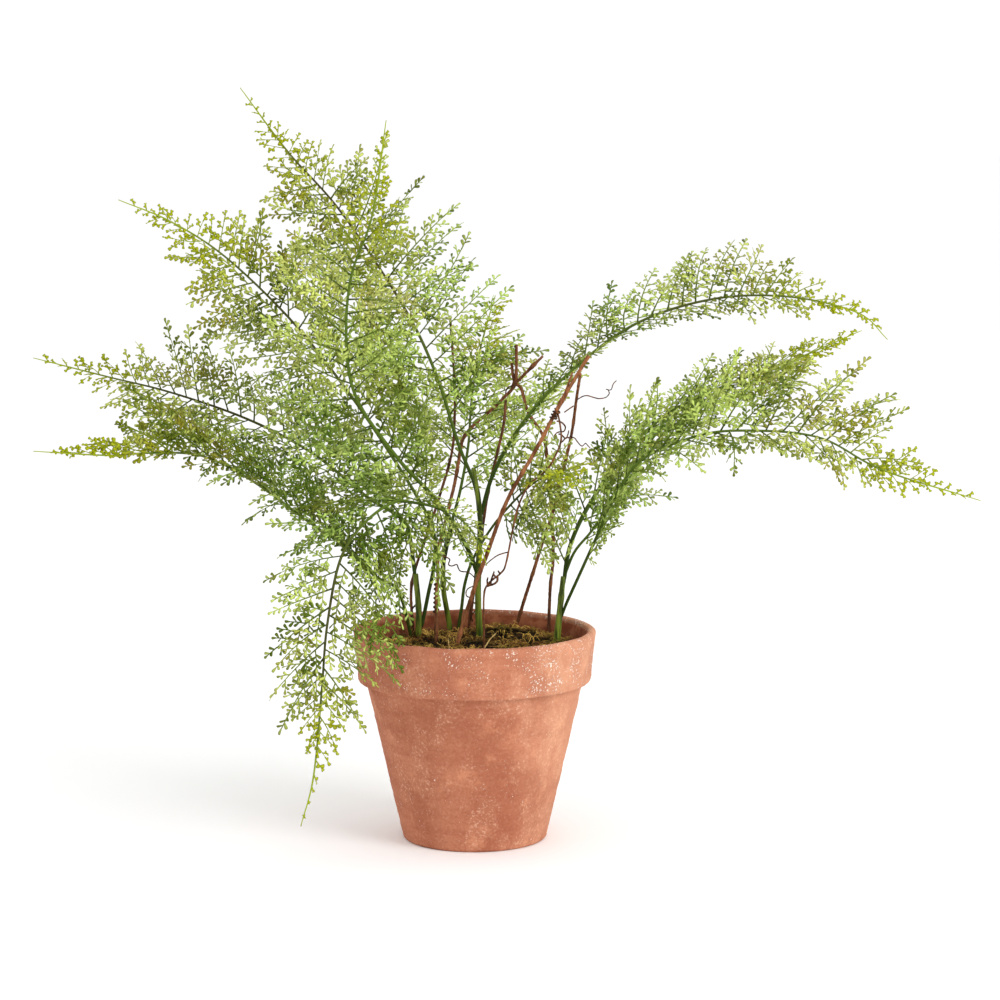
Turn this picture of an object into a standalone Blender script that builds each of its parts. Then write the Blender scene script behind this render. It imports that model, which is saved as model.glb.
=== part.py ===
"""Potted lace fern: a terracotta pot, its filling and moss, six green sprays and five brown twigs.

The origin is the centre of the pot's underside, +Z is up, and the front is towards -Y.
Every size and place in the tables is in millimetres; build_mesh turns it into metres.
"""
import math

import bpy
import numpy as np

MM = 0.001
GAP = 0.3
CUT_OVERRUN = 5.0

POT_HEIGHT = 135.4
POT_SIDES = 32
BASE_RADIUS = 46.1
BASE_ROUND = 2.6
FLOOR_THICKNESS = 9.0
DRAIN_RADIUS = 4.5
DRAIN_CIRCLE = 24.0
DRAIN_HOLES = 3
DRAIN_SIDES = 12
WALL = 5.0
COLLAR_HEIGHT = 32.8
SHOULDER = POT_HEIGHT - COLLAR_HEIGHT
BODY_TOP_RADIUS = 69.6
COLLAR_FOOT_RADIUS = 74.6
COLLAR_ROUND = 1.4
RIM_RADIUS = 77.5
LIP_ROUND = 1.8
INNER_BEND_RADIUS = 65.6
INNER_BEND_HEIGHT = 98.6

FILL_SIDES = 16
SOIL_TOP = 116.0
MOSS_TOP = 122.0
MOSS_RINGS = (26.0, 50.0)
MOSS_EDGE_DROP = 2.0
MOUND_HEIGHT = 4.0
MOUND_PLACE = (20.0, 46.0)
MOUND_SPREAD = 260.0
HOLE_SIDES = 6
HOLE_PLAY = 0.9
FROND_FOOT_SHARE = 1.25
STEM_FOOT = 106.0

# A frond's rachis and tail, and the distance from one pair of pinnae to the next.
STALK_STEP = 18.0
STEM_STEP = 24.0
TIP_RADIUS = 0.45
ROOT_TAPER = 0.65
FLATNESS = 0.85
TAIL = 15.0
GAP_AT_FOOT = 25.5
GAP_AT_TIP = 16.0

# A pinna grows shorter towards the frond's tip, and the lowest ones are a little shorter too.
# It leaves the rachis at SWEEP_AT_FOOT degrees forward, and up to SWEEP_MORE more near the tip.
PINNA_ROOT = 1.8
PINNA_RISE = 42.0
PINNA_RISE_SPAN = 95.0
PINNA_RISE_POWER = 1.6
PINNA_LEAST = 6.0
LOWEST_SHARE = 0.72
LOWEST_RISE = 0.40
SWEEP_AT_FOOT = 20.0
SWEEP_MORE = 18.0
BLADE = 0.7
RIB_HALF = 0.8

# Shares of a pinna's length: how far it bends forward and droops, and where its leaflets lie.
PINNA_BOW = 0.10
LEAFLET_SAG = 0.05
FIRST_NOTCH = 0.06
NOTCH_SPAN = 0.84
LEFT_NOTCH_SHIFT = 0.10
LEAFLET_SLANT = 0.25
APEX = 1.06
LEAFLET_REACH = 0.42
LEAFLET_EVERY = 9.0

# A frond's route runs from its foot to its tip. face is where the upper side of the leaf looks,
# forward turns the pinnae further towards the tip, in degrees, and right and left say for each row
# of pinnae how long they are, as a share of longest, and how far they rise out of the flat, in
# degrees; all four are given at even steps from the foot to the tip. bare is the length of stalk
# before the first pinna of the right and of the left row, and ends is the share of the way along
# where each row stops.
FRONDS = {
    "tall_back_left": dict(
        route=((3, 42, 197), (0, 47, 221), (-11, 56, 248), (-26, 70, 293), (-47, 86, 335),
               (-89, 104, 397), (-125, 116, 437), (-157, 126, 479)),
        radius=1.3, bare=(62, 90), longest=46,
        forward=(4,), face=((0.2, -1, 0.3), (0, -1, 0.2)),
        right=((1.3, 6), (1.3, 6), (1.1, 6), (0.7, 6)), left=((1, 6), (0.9, 6))),
    "upright": dict(
        route=((2, 41, 162), (-5, 36, 182), (-24, 24, 214), (-49, 8, 244), (-74, -6, 283),
               (-80, -14, 318), (-77, -18, 360), (-63, -22, 400), (-54, -28, 458)),
        radius=1.6, bare=(92, 92), longest=44,
        forward=(6,), face=((-0.5, -1, 0.2), (0, -1, 0.1)),
        right=((1.1, 6), (1.1, 6), (0.75, 6)), left=((1.25, 10), (1.1, 10), (0.75, 10))),
    "high_right": dict(
        route=((3, 42, 200), (12, 44, 230), (30, 48, 261), (57, 52, 291), (102, 58, 325),
               (153, 60, 342), (203, 58, 344), (248, 52, 334), (267, 46, 317)),
        radius=1.5, bare=(96, 96), longest=36,
        forward=(14, 14, 25, 20),
        face=((0, -0.5, 1), (-0.1, -0.15, 1), (0, -0.8, 0.7), (0, -0.8, 0.6)),
        right=((0.7, 10), (0.55, 12), (0.4, 15), (0.5, 10), (0.5, 8), (0.4, 6)),
        left=((0.7, 10), (0.55, 10), (0.6, 15), (1.25, 8), (1, 6), (0.5, 6))),
    "upper_left": dict(
        route=((-35, 42, 129), (-31, 47, 149), (-27, 52, 169), (-27, 55, 189), (-35, 55, 208),
               (-59, 50, 248), (-85, 44, 287), (-118, 36, 330), (-159, 28, 371), (-193, 20, 394),
               (-225, 12, 408)),
        radius=1.3, bare=(112, 112), longest=40,
        forward=(4,), face=((0, -1, 0.2), (0, -1, 0.3)), right=((1.1, 6),),
        left=((1.15, 6), (0.9, 6))),
    "long_left": dict(
        route=((-39, 44, 160), (-43, 52, 188), (-49, 58, 199), (-72, 74, 211), (-108, 88, 238),
               (-151, 94, 260), (-202, 94, 278), (-244, 90, 289), (-292, 84, 302)),
        radius=1.4, bare=(62, 62), longest=44,
        forward=(0, 4, 14), face=((0, -0.8, 0.6), (0, -0.85, 0.5)),
        right=((1.1, 8), (0.95, 8), (0.75, 8)), left=((1.2, 20), (1, 25), (0.6, 30))),
    "low_left": dict(
        route=((-42, 36, STEM_FOOT), (-42, 36, 121), (-43, 34, 130), (-50, 22, 157), (-64, 14, 167),
               (-83, 2, 188), (-106, -14, 207), (-137, -30, 233), (-168, -42, 251), (-200, -50, 254),
               (-226, -54, 253), (-271, -58, 256)),
        radius=1.4, bare=(112, 112), longest=40,
        forward=(10, 20, 26), face=((0.3, -0.5, 1), (0, -0.5, 0.9), (0, -0.6, 0.8)),
        right=((1, 20), (1.1, 25), (1.1, 25)), left=((0.8, 20), (0.5, 35), (0.5, 40))),
    "hanging_front": dict(
        route=((-21, 50, 168), (-18, 40, 184), (-15, 22, 199), (-21, 8, 211), (-39, -10, 218),
               (-51, -25, 220), (-69, -48, 209), (-82, -72, 190), (-89, -92, 153), (-92, -102, 115),
               (-97, -108, 63), (-105, -108, 32)),
        radius=1.3, bare=(160, 52), longest=44,
        ends=(0.85, 1), forward=(0, -5, -5, 0, 15, 30),
        face=((0, -0.3, 1), (0, -0.6, 0.8), (0.1, -1, 0.2), (0.1, -1, 0.3)),
        right=((1.2, -30), (1.2, -30), (1, -10), (0.95, 0), (0.6, 0), (0.3, 0)),
        left=((1.4, -10), (1.4, -35), (1.2, -35), (1, 0), (0.8, 5), (0.5, 5))),
    "leaning_back": dict(
        route=((-21, 52, 164), (-20, 58, 179), (-15, 68, 197), (-10, 80, 215), (-5, 100, 242),
               (-3, 124, 270), (1, 146, 295), (7, 166, 318), (13, 184, 337)),
        radius=1.2, bare=(84, 84), longest=50,
        forward=(12,), face=((0.1, -0.8, 0.5), (0, -0.7, 0.7)),
        right=((1, 6), (1, 6), (1.3, 6), (2, 6)), left=((1, 6), (1, 6), (1.3, 6), (2, 6))),
    "inner_right": dict(
        route=((-11, 54, STEM_FOOT), (-11, 54, 126), (-9, 56, 140), (-7, 57, 155), (-2, 54, 171),
               (8, 46, 190), (21, 30, 209), (36, 14, 226), (48, 6, 234), (56, -16, 237),
               (62, -42, 237), (66, -64, 231)),
        radius=1.2, bare=(150, 150), longest=34,
        forward=(6,), face=((0, -1, 0.6), (0, -0.8, 0.7)), right=((1, 8),), left=((1, 8),)),
    "middle_right": dict(
        route=((57, 20, 160), (62, 24, 187), (77, 38, 215), (105, 60, 249), (134, 78, 270),
               (174, 94, 286), (212, 104, 299), (258, 112, 318)),
        radius=1.6, bare=(62, 14), longest=40, forward=(0, 22, 30, 30),
        face=((1, -1, 0), (-0.5, -0.6, 0.7), (-0.3, -0.7, 0.7), (-0.1, -0.75, 0.7)),
        right=((0.7, 10), (0.75, 15), (0.6, 15)), left=((1.3, 14), (0.9, 14), (0.65, 15), (0.7, 15))),
    "low_right": dict(
        route=((56, 18, 140), (59, 16, 149), (66, 10, 166), (78, -4, 196), (87, -16, 219),
               (104, -32, 247), (137, -48, 264), (167, -60, 269), (211, -72, 266), (249, -80, 247),
               (308, -86, 229)),
        radius=1.3, bare=(88, 88), longest=42, forward=(16, 16, 22, 20),
        face=((-0.5, -0.3, 0.8), (-0.2, -0.6, 0.8), (0, -0.75, 0.65), (0.1, -0.75, 0.65)),
        right=((0.6, 10), (0.5, 8), (0.5, 5), (0.6, 5)), left=((0.5, 15), (0.8, 15), (1.1, 15), (1, 15))),
    "short_right": dict(
        route=((57, 20, 164), (64, 18, 182), (75, 16, 196), (88, 10, 216), (98, 6, 232),
               (108, 4, 241), (123, 6, 242), (136, 10, 230), (143, 14, 216)),
        radius=1.1, bare=(50, 50), longest=22,
        forward=(10,), face=((0, -0.5, 0.8), (0.5, -0.5, 0.6)), right=((1, 6),), left=((1, 6),)),
}

# A stem or twig is a plain tapering tube along its route, with its radius at the foot and the top.
STEMS = {
    "centre_stem": dict(
        route=((3, 40, STEM_FOOT), (3, 40, 124), (2, 40, 141), (2, 41, 166), (3, 42, 187),
               (3, 42, 207), (-1, 42, 234)), radius=(2.4, 1.4), sides=8, step=STEM_STEP),
    "left_stem": dict(
        route=((-37, 40, STEM_FOOT), (-37, 40, 124), (-37, 42, 142), (-39, 44, 164)),
        radius=(2.2, 1.8), sides=8, step=STEM_STEP),
    "front_stem": dict(
        route=((-17, 58, STEM_FOOT), (-17, 58, 126), (-21, 55, 152), (-21, 51, 172)),
        radius=(1.9, 1.6), sides=8, step=STEM_STEP),
    "right_stem": dict(
        route=((53, 17, STEM_FOOT), (53, 17, 124), (55, 18, 146), (57, 20, 166)),
        radius=(2.6, 1.6), sides=8, step=STEM_STEP),
}

TWIGS = {
    "thin_twig": dict(
        route=((-41, 48, STEM_FOOT), (-41, 48, 127), (-42, 60, 154), (-34, 68, 181), (-25, 76, 207),
               (-16, 84, 238), (-14, 88, 260), (-14, 92, 285), (-17, 98, 329)),
        radius=(1.0, 0.8), sides=6, step=STEM_STEP),
    "forked_twig": dict(
        route=((-25, 20, STEM_FOOT), (-25, 20, 124), (-25, 24, 149), (-24, 29, 165), (-24, 32, 180),
               (-21, 36, 192), (-17, 44, 208), (-13, 60, 224), (-10, 74, 241), (-8, 80, 249),
               (-2, 80, 257), (8, 77, 266), (18, 73, 276), (26, 70, 287), (27, 66, 312)),
        radius=(1.2, 1.0), sides=6, step=STEM_STEP),
    "forked_twig_tip": dict(
        route=((24, 71, 284), (44, 60, 305)), radius=(1.1, 0.8), sides=6, step=STEM_STEP),
    "forked_twig_second_foot": dict(
        route=((25, 70, 286), (30, 69, 283), (35, 66, 267), (45, 60, 251), (48, 55, 225),
               (50, 53, 204), (51, 47, 175), (49, 43, 155), (48, 42, 125), (48, 42, STEM_FOOT)),
        radius=(1.0, 1.1), sides=6, step=STEM_STEP),
    "inner_twig": dict(
        route=((-4, 60, STEM_FOOT), (-4, 60, 127), (-2, 58, 143), (5, 57, 194), (9, 58, 219),
               (18, 62, 257), (20, 64, 276)),
        radius=(1.1, 0.9), sides=6, step=STEM_STEP),
    "thick_twig": dict(
        route=((-11, 0, STEM_FOOT), (-11, 0, 125), (0, -1, 162), (8, -2, 184), (21, -4, 219),
               (40, -6, 253), (55, -8, 282), (72, -10, 311)),
        radius=(1.4, 1.1), sides=8, step=STEM_STEP),
    "thick_twig_side_shoot": dict(
        route=((56, -8, 284), (59, -7, 292), (62, -4, 300)), radius=(0.8, 0.6), sides=5, step=STEM_STEP),
    "wandering_shoot": dict(
        route=((52, -8, 277), (54, -3, 268), (55, 0, 257), (52, 0, 248), (46, -3, 238),
               (35, -7, 229), (28, -9, 216), (24, -10, 199), (20, -10, 179), (17, -10, 173),
               (9, -9, 166), (6, -9, 158), (6, -8, 134), (6, -8, 124), (6, -8, STEM_FOOT)),
        radius=(0.6, 0.6), sides=4, step=10.0),
    "long_twig": dict(
        route=((27, 56, STEM_FOOT), (27, 56, 126), (39, 48, 168), (45, 44, 188), (51, 43, 206),
               (56, 38, 228), (62, 24, 257), (65, 12, 282), (67, 0, 299)),
        radius=(1.2, 0.9), sides=6, step=STEM_STEP),
    "long_twig_upper_tendril": dict(
        route=((64, 13, 281), (70, 10, 284), (76, 7, 284), (83, 4, 283), (87, 2, 287), (88, 1, 292),
               (91, 0, 296)), radius=(0.45, 0.4), sides=4, step=7.0),
    "long_twig_lower_tendril": dict(
        route=((61, 24, 256), (66, 22, 255), (69, 21, 251), (72, 20, 250), (75, 19, 246)),
        radius=(0.45, 0.4), sides=4, step=7.0),
}

# Each green or brown node is the union of the shapes that grew together.
SPRAYS = {
    "spray_centre": ("centre_stem", "tall_back_left", "upright", "high_right"),
    "spray_left": ("left_stem", "upper_left", "long_left"),
    "frond_left_low": ("low_left",),
    "spray_front": ("front_stem", "hanging_front", "leaning_back"),
    "frond_inner_right": ("inner_right",),
    "spray_right": ("right_stem", "middle_right", "low_right", "short_right"),
}
TWIG_NODES = {
    "twig_thin": ("thin_twig",),
    "twig_forked": ("forked_twig", "forked_twig_tip", "forked_twig_second_foot"),
    "twig_inner": ("inner_twig",),
    "twig_thick": ("thick_twig", "thick_twig_side_shoot", "wandering_shoot"),
    "twig_long": ("long_twig", "long_twig_upper_tendril", "long_twig_lower_tendril"),
}


def clear_scene():
    for thing in list(bpy.data.objects):
        bpy.data.objects.remove(thing, do_unlink=True)


def make_material(name, colour, roughness):
    material = bpy.data.materials.new(name)
    material.use_nodes = True
    shader = material.node_tree.nodes["Principled BSDF"]
    shader.inputs["Base Color"].default_value = (*colour, 1.0)
    shader.inputs["Roughness"].default_value = roughness
    shader.inputs["Metallic"].default_value = 0.0
    material.diffuse_color = (*colour, 1.0)
    return material


def build_mesh(name, points, faces, material):
    """One object from points in millimetres and faces that look outwards."""
    mesh = bpy.data.meshes.new(name)
    mesh.from_pydata([tuple(np.asarray(p) * MM) for p in points], [], faces)
    mesh.validate()
    mesh.materials.append(material)
    thing = bpy.data.objects.new(name, mesh)
    bpy.context.scene.collection.objects.link(thing)
    return thing


def unit(vector):
    vector = np.asarray(vector, float)
    return vector / np.linalg.norm(vector)


class Path:
    """A smooth curve through route points, read by the length along it."""

    def __init__(self, route, steps=16):
        points = np.asarray(route, float)
        padded = np.vstack([2 * points[0] - points[1], points, 2 * points[-1] - points[-2]])
        t = np.linspace(0.0, 1.0, steps, endpoint=False)[:, None]
        pieces = []
        for a, b, c, d in zip(padded, padded[1:], padded[2:], padded[3:]):
            curve = 2 * b + (c - a) * t + (2 * a - 5 * b + 4 * c - d) * t ** 2
            pieces.append(0.5 * (curve + (3 * b - a - 3 * c + d) * t ** 3))
        self.points = np.vstack(pieces + [points[-1:]])
        lengths = np.linalg.norm(np.diff(self.points, axis=0), axis=1)
        self.at = np.concatenate([[0.0], np.cumsum(lengths)])
        self.length = self.at[-1]

    def point(self, s):
        return np.array([np.interp(s, self.at, self.points[:, k]) for k in range(3)])

    def direction(self, s, reach=2.0):
        ahead = self.point(min(s + reach, self.length))
        behind = self.point(max(s - reach, 0.0))
        return unit(ahead - behind)


def tube_shell(route, radius, sides, step):
    """Points and faces of a closed tube whose rings are turned as little as possible."""
    path = Path(route)
    count = max(2, int(math.ceil(path.length / step)) + 1)
    points = []
    faces = []
    across = unit(np.cross(path.direction(0.0), (0.31, 1.0, 0.17)))
    for i, s in enumerate(np.linspace(0.0, path.length, count)):
        ahead = path.direction(s)
        across = unit(across - ahead * across.dot(ahead))
        beside = np.cross(ahead, across)
        size = radius[0] + (radius[1] - radius[0]) * i / (count - 1)
        for k in range(sides):
            turn = 2 * math.pi * k / sides
            points.append(path.point(s) + size * (math.cos(turn) * across + math.sin(turn) * beside))
    for i in range(count - 1):
        for k in range(sides):
            a = i * sides + k
            b = i * sides + (k + 1) % sides
            faces.append((a, b, b + sides, a + sides))
    faces.append(tuple(reversed(range(sides))))
    last = (count - 1) * sides
    faces.append(tuple(range(last, last + sides)))
    return points, faces


def leaflet_count(length):
    """Leaflets on one side of a pinna: three at most."""
    return max(1, min(3, int(round(length / LEAFLET_EVERY))))


def add_pinna(points, faces, root_right, root_left, outward, up, forward, length, reach):
    """A thin arched blade cut to its rib in leaflets, in place of one side face of the rachis.

    root_right and root_left are pairs of point numbers, top and bottom. The blade runs outward,
    bends forward and droops, and is split into triangles alike on both faces. reach is how far
    its longest leaflet stands out from the rib.
    """
    right_of = np.cross(outward, up)
    start = (points[root_right[0]] + points[root_left[0]]
             + points[root_right[1]] + points[root_left[1]]) / 4
    count = leaflet_count(length)
    reach = min(reach, 0.30 * length + 1.5)

    def place(v, aside):
        bow = PINNA_BOW * length * v * v
        on_rib = start + outward * length * v + forward * bow
        return on_rib - up * (bow + LEAFLET_SAG * abs(aside)) + right_of * aside

    def pair(spot):
        points.append(spot + up * BLADE / 2)
        points.append(spot - up * BLADE / 2)
        return len(points) - 2, len(points) - 1

    chains = {}
    tips = {}
    for side, root in ((1, root_right), (-1, root_left)):
        chain = [root]
        side_tips = []
        shift = 0.0 if side > 0 else LEFT_NOTCH_SHIFT
        for k in range(count):
            along = (k + 1) / count
            notch = FIRST_NOTCH + NOTCH_SPAN * along - shift * (1.0 - along)
            tip = min(notch + LEAFLET_SLANT * reach / length, 1.0)
            wide = reach * math.sin(math.pi * (1.0 + 0.9 * k) / (count + 1)) * (1.0 - 0.4 * k / count)
            side_tips.append(pair(place(tip, side * wide)))
            chain.append(pair(place(notch, side * RIB_HALF * (1.0 - 0.4 * along))))
        chains[side] = chain
        tips[side] = side_tips
    apex = pair(place(APEX, 0.0))

    triangles = []
    for k in range(count):
        triangles.append((chains[1][k], tips[1][k], chains[1][k + 1]))
        triangles.append((chains[-1][k + 1], tips[-1][k], chains[-1][k]))
        triangles.append((chains[1][k], chains[1][k + 1], chains[-1][k]))
        triangles.append((chains[1][k + 1], chains[-1][k + 1], chains[-1][k]))
    triangles.append((chains[1][count], apex, chains[-1][count]))
    for a, b, c in triangles:
        faces.append((a[0], b[0], c[0]))
        faces.append((c[1], b[1], a[1]))
    outline = [root_right]
    for k in range(count):
        outline += [tips[1][k], chains[1][k + 1]]
    outline.append(apex)
    for k in reversed(range(count)):
        outline += [chains[-1][k + 1], tips[-1][k]]
    outline.append(root_left)
    for a, b in zip(outline, outline[1:]):
        faces.append((a[0], a[1], b[0]))
        faces.append((b[0], a[1], b[1]))


def pinna_gap(s, first, end):
    """Distance from one pair of pinnae to the next, wide near the foot and narrow near the tip."""
    return GAP_AT_FOOT + (GAP_AT_TIP - GAP_AT_FOOT) * (s - first) / (end - first)


def at_steps(values, share):
    """Values given at even steps, read at a share of the way along."""
    steps = np.linspace(0.0, 1.0, len(values))
    columns = np.asarray(values, float).reshape(len(values), -1).T
    return np.array([np.interp(share, steps, column) for column in columns])


def frond_stations(path, bare, ends):
    """Lengths along the rachis where its rings lie, and the pinna that starts at each.

    Pinnae come in pairs, one on the right and one just after it on the left.
    """
    first = min(bare)
    count = max(1, int(first // STALK_STEP))
    stations = [(first * k / count, None) for k in range(count)]
    s = first
    end = path.length - TAIL
    while s + 2 * PINNA_ROOT < end:
        if bare[0] <= s < ends[0] * path.length:
            stations.append((s, "right"))
        if bare[1] <= s < ends[1] * path.length:
            stations.append((s + PINNA_ROOT, "left"))
        stations.append((s + 2 * PINNA_ROOT, None))
        s += pinna_gap(s, first, end)
    return stations


def frond_shell(route, radius, bare, longest, face, forward, right, left, ends=(1, 1)):
    """Points and faces of one frond: a four-sided rachis whose side faces open into pinnae."""
    path = Path(route)
    stations = frond_stations(path, bare, ends)
    points = []
    faces = []
    frames = []
    for s, _ in stations:
        share = s / path.length
        ahead = path.direction(s)
        up = at_steps(face, share)
        up = unit(up - ahead * up.dot(ahead))
        beside = np.cross(ahead, up)
        frames.append((ahead, up, beside))
        size = (radius * (1 - share) + TIP_RADIUS * share) * (ROOT_TAPER if s == 0 else 1.0)
        middle = path.point(s)
        for across, top in ((-1, 1), (1, 1), (1, -1), (-1, -1)):
            points.append(middle + size * (across * beside + FLATNESS * top * up))
    for i, (s, side) in enumerate(stations[:-1]):
        a = 4 * i
        b = a + 4
        faces.append((a, a + 1, b + 1, b))
        faces.append((a + 2, a + 3, b + 3, b + 2))
        ahead, up, beside = frames[i]
        share = s / path.length
        away = max(0.0, path.length - TAIL - s) / PINNA_RISE_SPAN
        full = min(longest, PINNA_RISE * away ** PINNA_RISE_POWER + PINNA_LEAST)
        full *= min(1.0, LOWEST_SHARE + LOWEST_RISE * (s - min(bare)) / longest)
        sweep = SWEEP_AT_FOOT + SWEEP_MORE * (1.0 - full / longest) + at_steps(forward, share)[0]
        sweep = math.radians(sweep)
        reach = LEAFLET_REACH * pinna_gap(s, min(bare), path.length - TAIL)
        for name, way, corners in (("right", 1, (a + 1, a + 2, b + 1, b + 2)),
                                   ("left", -1, (b, b + 3, a, a + 3))):
            near_top, near_low, far_top, far_low = corners
            if side != name:
                faces.append((near_top, near_low, far_low, far_top))
                continue
            size, rise = at_steps(right if way > 0 else left, share)
            raised = math.radians(rise)
            out = way * beside * math.cos(raised) + up * math.sin(raised)
            outward = unit(out * math.cos(sweep) + ahead * math.sin(sweep))
            blade_up = unit(np.cross(out, ahead) * way)
            blade_up = unit(blade_up - outward * blade_up.dot(outward))
            add_pinna(points, faces, (near_top, near_low), (far_top, far_low),
                      outward, blade_up, ahead, full * size, reach)
    last = 4 * (len(stations) - 1)
    points.append(path.points[-1])
    tip = len(points) - 1
    for k in range(4):
        faces.append((last + k, last + (k + 1) % 4, tip))
    faces.append((3, 2, 1, 0))
    return points, faces


def union_of(name, things):
    """Join overlapping closed shapes into one, and keep it under the first one's object."""
    first = things[0]
    first.name = name
    if len(things) == 1:
        return first
    group = bpy.data.collections.new(name + "_parts")
    bpy.context.scene.collection.children.link(group)
    for thing in things[1:]:
        bpy.context.scene.collection.objects.unlink(thing)
        group.objects.link(thing)
    join = first.modifiers.new("join", "BOOLEAN")
    join.operation = "UNION"
    join.operand_type = "COLLECTION"
    join.collection = group
    join.solver = "EXACT"
    with bpy.context.temp_override(object=first, active_object=first, selected_objects=[first]):
        bpy.ops.object.modifier_apply(modifier=join.name)
    for thing in list(group.objects):
        bpy.data.objects.remove(thing, do_unlink=True)
    bpy.data.collections.remove(group)
    return first


def arc(middle, half_width, half_height, angles):
    """Points (radius, height) on an ellipse round middle, at angles in degrees from outwards."""
    turns = [math.radians(angle) for angle in angles]
    return [(middle[0] + half_width * math.cos(turn), middle[1] + half_height * math.sin(turn))
            for turn in turns]


def turned(name, profile, sides, material):
    """Turn a profile of (radius, height) points round Z, and close it with a flat at each end.

    The profile is listed up the outside and, on a hollow piece, down the inside.
    """
    points = []
    faces = []
    for radius, height in profile:
        for k in range(sides):
            turn = 2 * math.pi * k / sides
            points.append((radius * math.cos(turn), radius * math.sin(turn), height))
    rows = len(profile)
    for i in range(rows - 1):
        for k in range(sides):
            m = (k + 1) % sides
            faces.append((i * sides + k, i * sides + m, (i + 1) * sides + m, (i + 1) * sides + k))
    faces.append(tuple(reversed(range(sides))))
    faces.append(tuple(range((rows - 1) * sides, rows * sides)))
    return build_mesh(name, points, faces, material)


def body_radius(height):
    """Outer radius of the pot's tapered body."""
    return BASE_RADIUS + (BODY_TOP_RADIUS - BASE_RADIUS) * height / SHOULDER


def inner_radius(height):
    """Radius of the pot's inside wall, which bends a little below the collar's foot."""
    heights = (FLOOR_THICKNESS, INNER_BEND_HEIGHT, POT_HEIGHT - LIP_ROUND)
    radii = (body_radius(FLOOR_THICKNESS) - WALL, INNER_BEND_RADIUS, RIM_RADIUS - WALL)
    return float(np.interp(height, heights, radii))


def make_pot(material):
    """The pot: a tapered body under a collar with a rounded lip, and holes through its floor."""
    foot = (body_radius(BASE_ROUND) - BASE_ROUND, BASE_ROUND)
    collar_foot = (COLLAR_FOOT_RADIUS - COLLAR_ROUND, SHOULDER + COLLAR_ROUND)
    lip = (RIM_RADIUS - WALL / 2, POT_HEIGHT - LIP_ROUND)
    profile = [
        *arc(foot, BASE_ROUND, BASE_ROUND, (-90, -45, 0)),
        (BODY_TOP_RADIUS, SHOULDER),
        *arc(collar_foot, COLLAR_ROUND, COLLAR_ROUND, (-90, -45, 0)),
        *arc(lip, WALL / 2, LIP_ROUND, (0, 45, 90, 135, 180)),
        (INNER_BEND_RADIUS, INNER_BEND_HEIGHT),
        (inner_radius(FLOOR_THICKNESS), FLOOR_THICKNESS),
    ]
    pot = turned("pot", profile, POT_SIDES, material)
    turns = [2 * math.pi * k / DRAIN_HOLES for k in range(DRAIN_HOLES)]
    holes = [(DRAIN_CIRCLE * math.cos(turn), DRAIN_CIRCLE * math.sin(turn), DRAIN_RADIUS) for turn in turns]
    drill(pot, holes, -CUT_OVERRUN, FLOOR_THICKNESS + CUT_OVERRUN, DRAIN_SIDES)


def fill_radius(height):
    """Radius of what fills the pot, a gap clear of the pot's many-sided inside."""
    return inner_radius(height) * math.cos(math.pi / POT_SIDES) - GAP


def make_soil(material):
    """The filling, from the pot's floor to just under the moss."""
    heights = (FLOOR_THICKNESS + GAP, INNER_BEND_HEIGHT, SOIL_TOP)
    profile = [(fill_radius(height), height) for height in heights]
    return turned("soil", profile, FILL_SIDES, material)


def moss_height(x, y):
    """Height of the moss: low waves over the filling and one mound at the back."""
    waves = 1.3 * math.sin(x / 9.0 + 0.6) * math.cos(y / 11.0) + 0.8 * math.sin((x + 2 * y) / 13.0)
    away = (x - MOUND_PLACE[0]) ** 2 + (y - MOUND_PLACE[1]) ** 2
    return MOSS_TOP + waves + MOUND_HEIGHT * math.exp(-away / MOUND_SPREAD)


def make_moss(material):
    """A flat-bottomed layer whose top follows moss_height, in rings round a middle point."""
    edge = fill_radius(SOIL_TOP)
    foot = SOIL_TOP + GAP
    points = [(0.0, 0.0, moss_height(0.0, 0.0))]
    faces = []
    for radius in (*MOSS_RINGS, edge):
        for k in range(FILL_SIDES):
            turn = 2 * math.pi * k / FILL_SIDES
            x = radius * math.cos(turn)
            y = radius * math.sin(turn)
            drop = MOSS_EDGE_DROP if radius == edge else 0.0
            points.append((x, y, moss_height(x, y) - drop))
    for k in range(FILL_SIDES):
        turn = 2 * math.pi * k / FILL_SIDES
        points.append((edge * math.cos(turn), edge * math.sin(turn), foot))
    for k in range(FILL_SIDES):
        m = (k + 1) % FILL_SIDES
        faces.append((0, 1 + k, 1 + m))
        for ring in range(len(MOSS_RINGS)):
            a = 1 + ring * FILL_SIDES
            b = a + FILL_SIDES
            faces.append((a + k, b + k, b + m))
            faces.append((a + k, b + m, a + m))
        top = 1 + len(MOSS_RINGS) * FILL_SIDES
        low = top + FILL_SIDES
        faces.append((top + k, low + k, low + m, top + m))
    low = 1 + (len(MOSS_RINGS) + 1) * FILL_SIDES
    faces.append(tuple(reversed(range(low, low + FILL_SIDES))))
    return build_mesh("moss", points, faces, material)


def stem_holes():
    """Place and radius of the hole round every stem and twig that stands in the filling."""
    holes = []
    for shape in (*STEMS.values(), *TWIGS.values(), *FRONDS.values()):
        size = shape["radius"]
        for end, point in ((0, shape["route"][0]), (1, shape["route"][-1])):
            if point[2] == STEM_FOOT:
                stem_radius = size[end] if isinstance(size, tuple) else FROND_FOOT_SHARE * size
                holes.append((point[0], point[1], stem_radius + HOLE_PLAY))
    return holes


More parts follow.
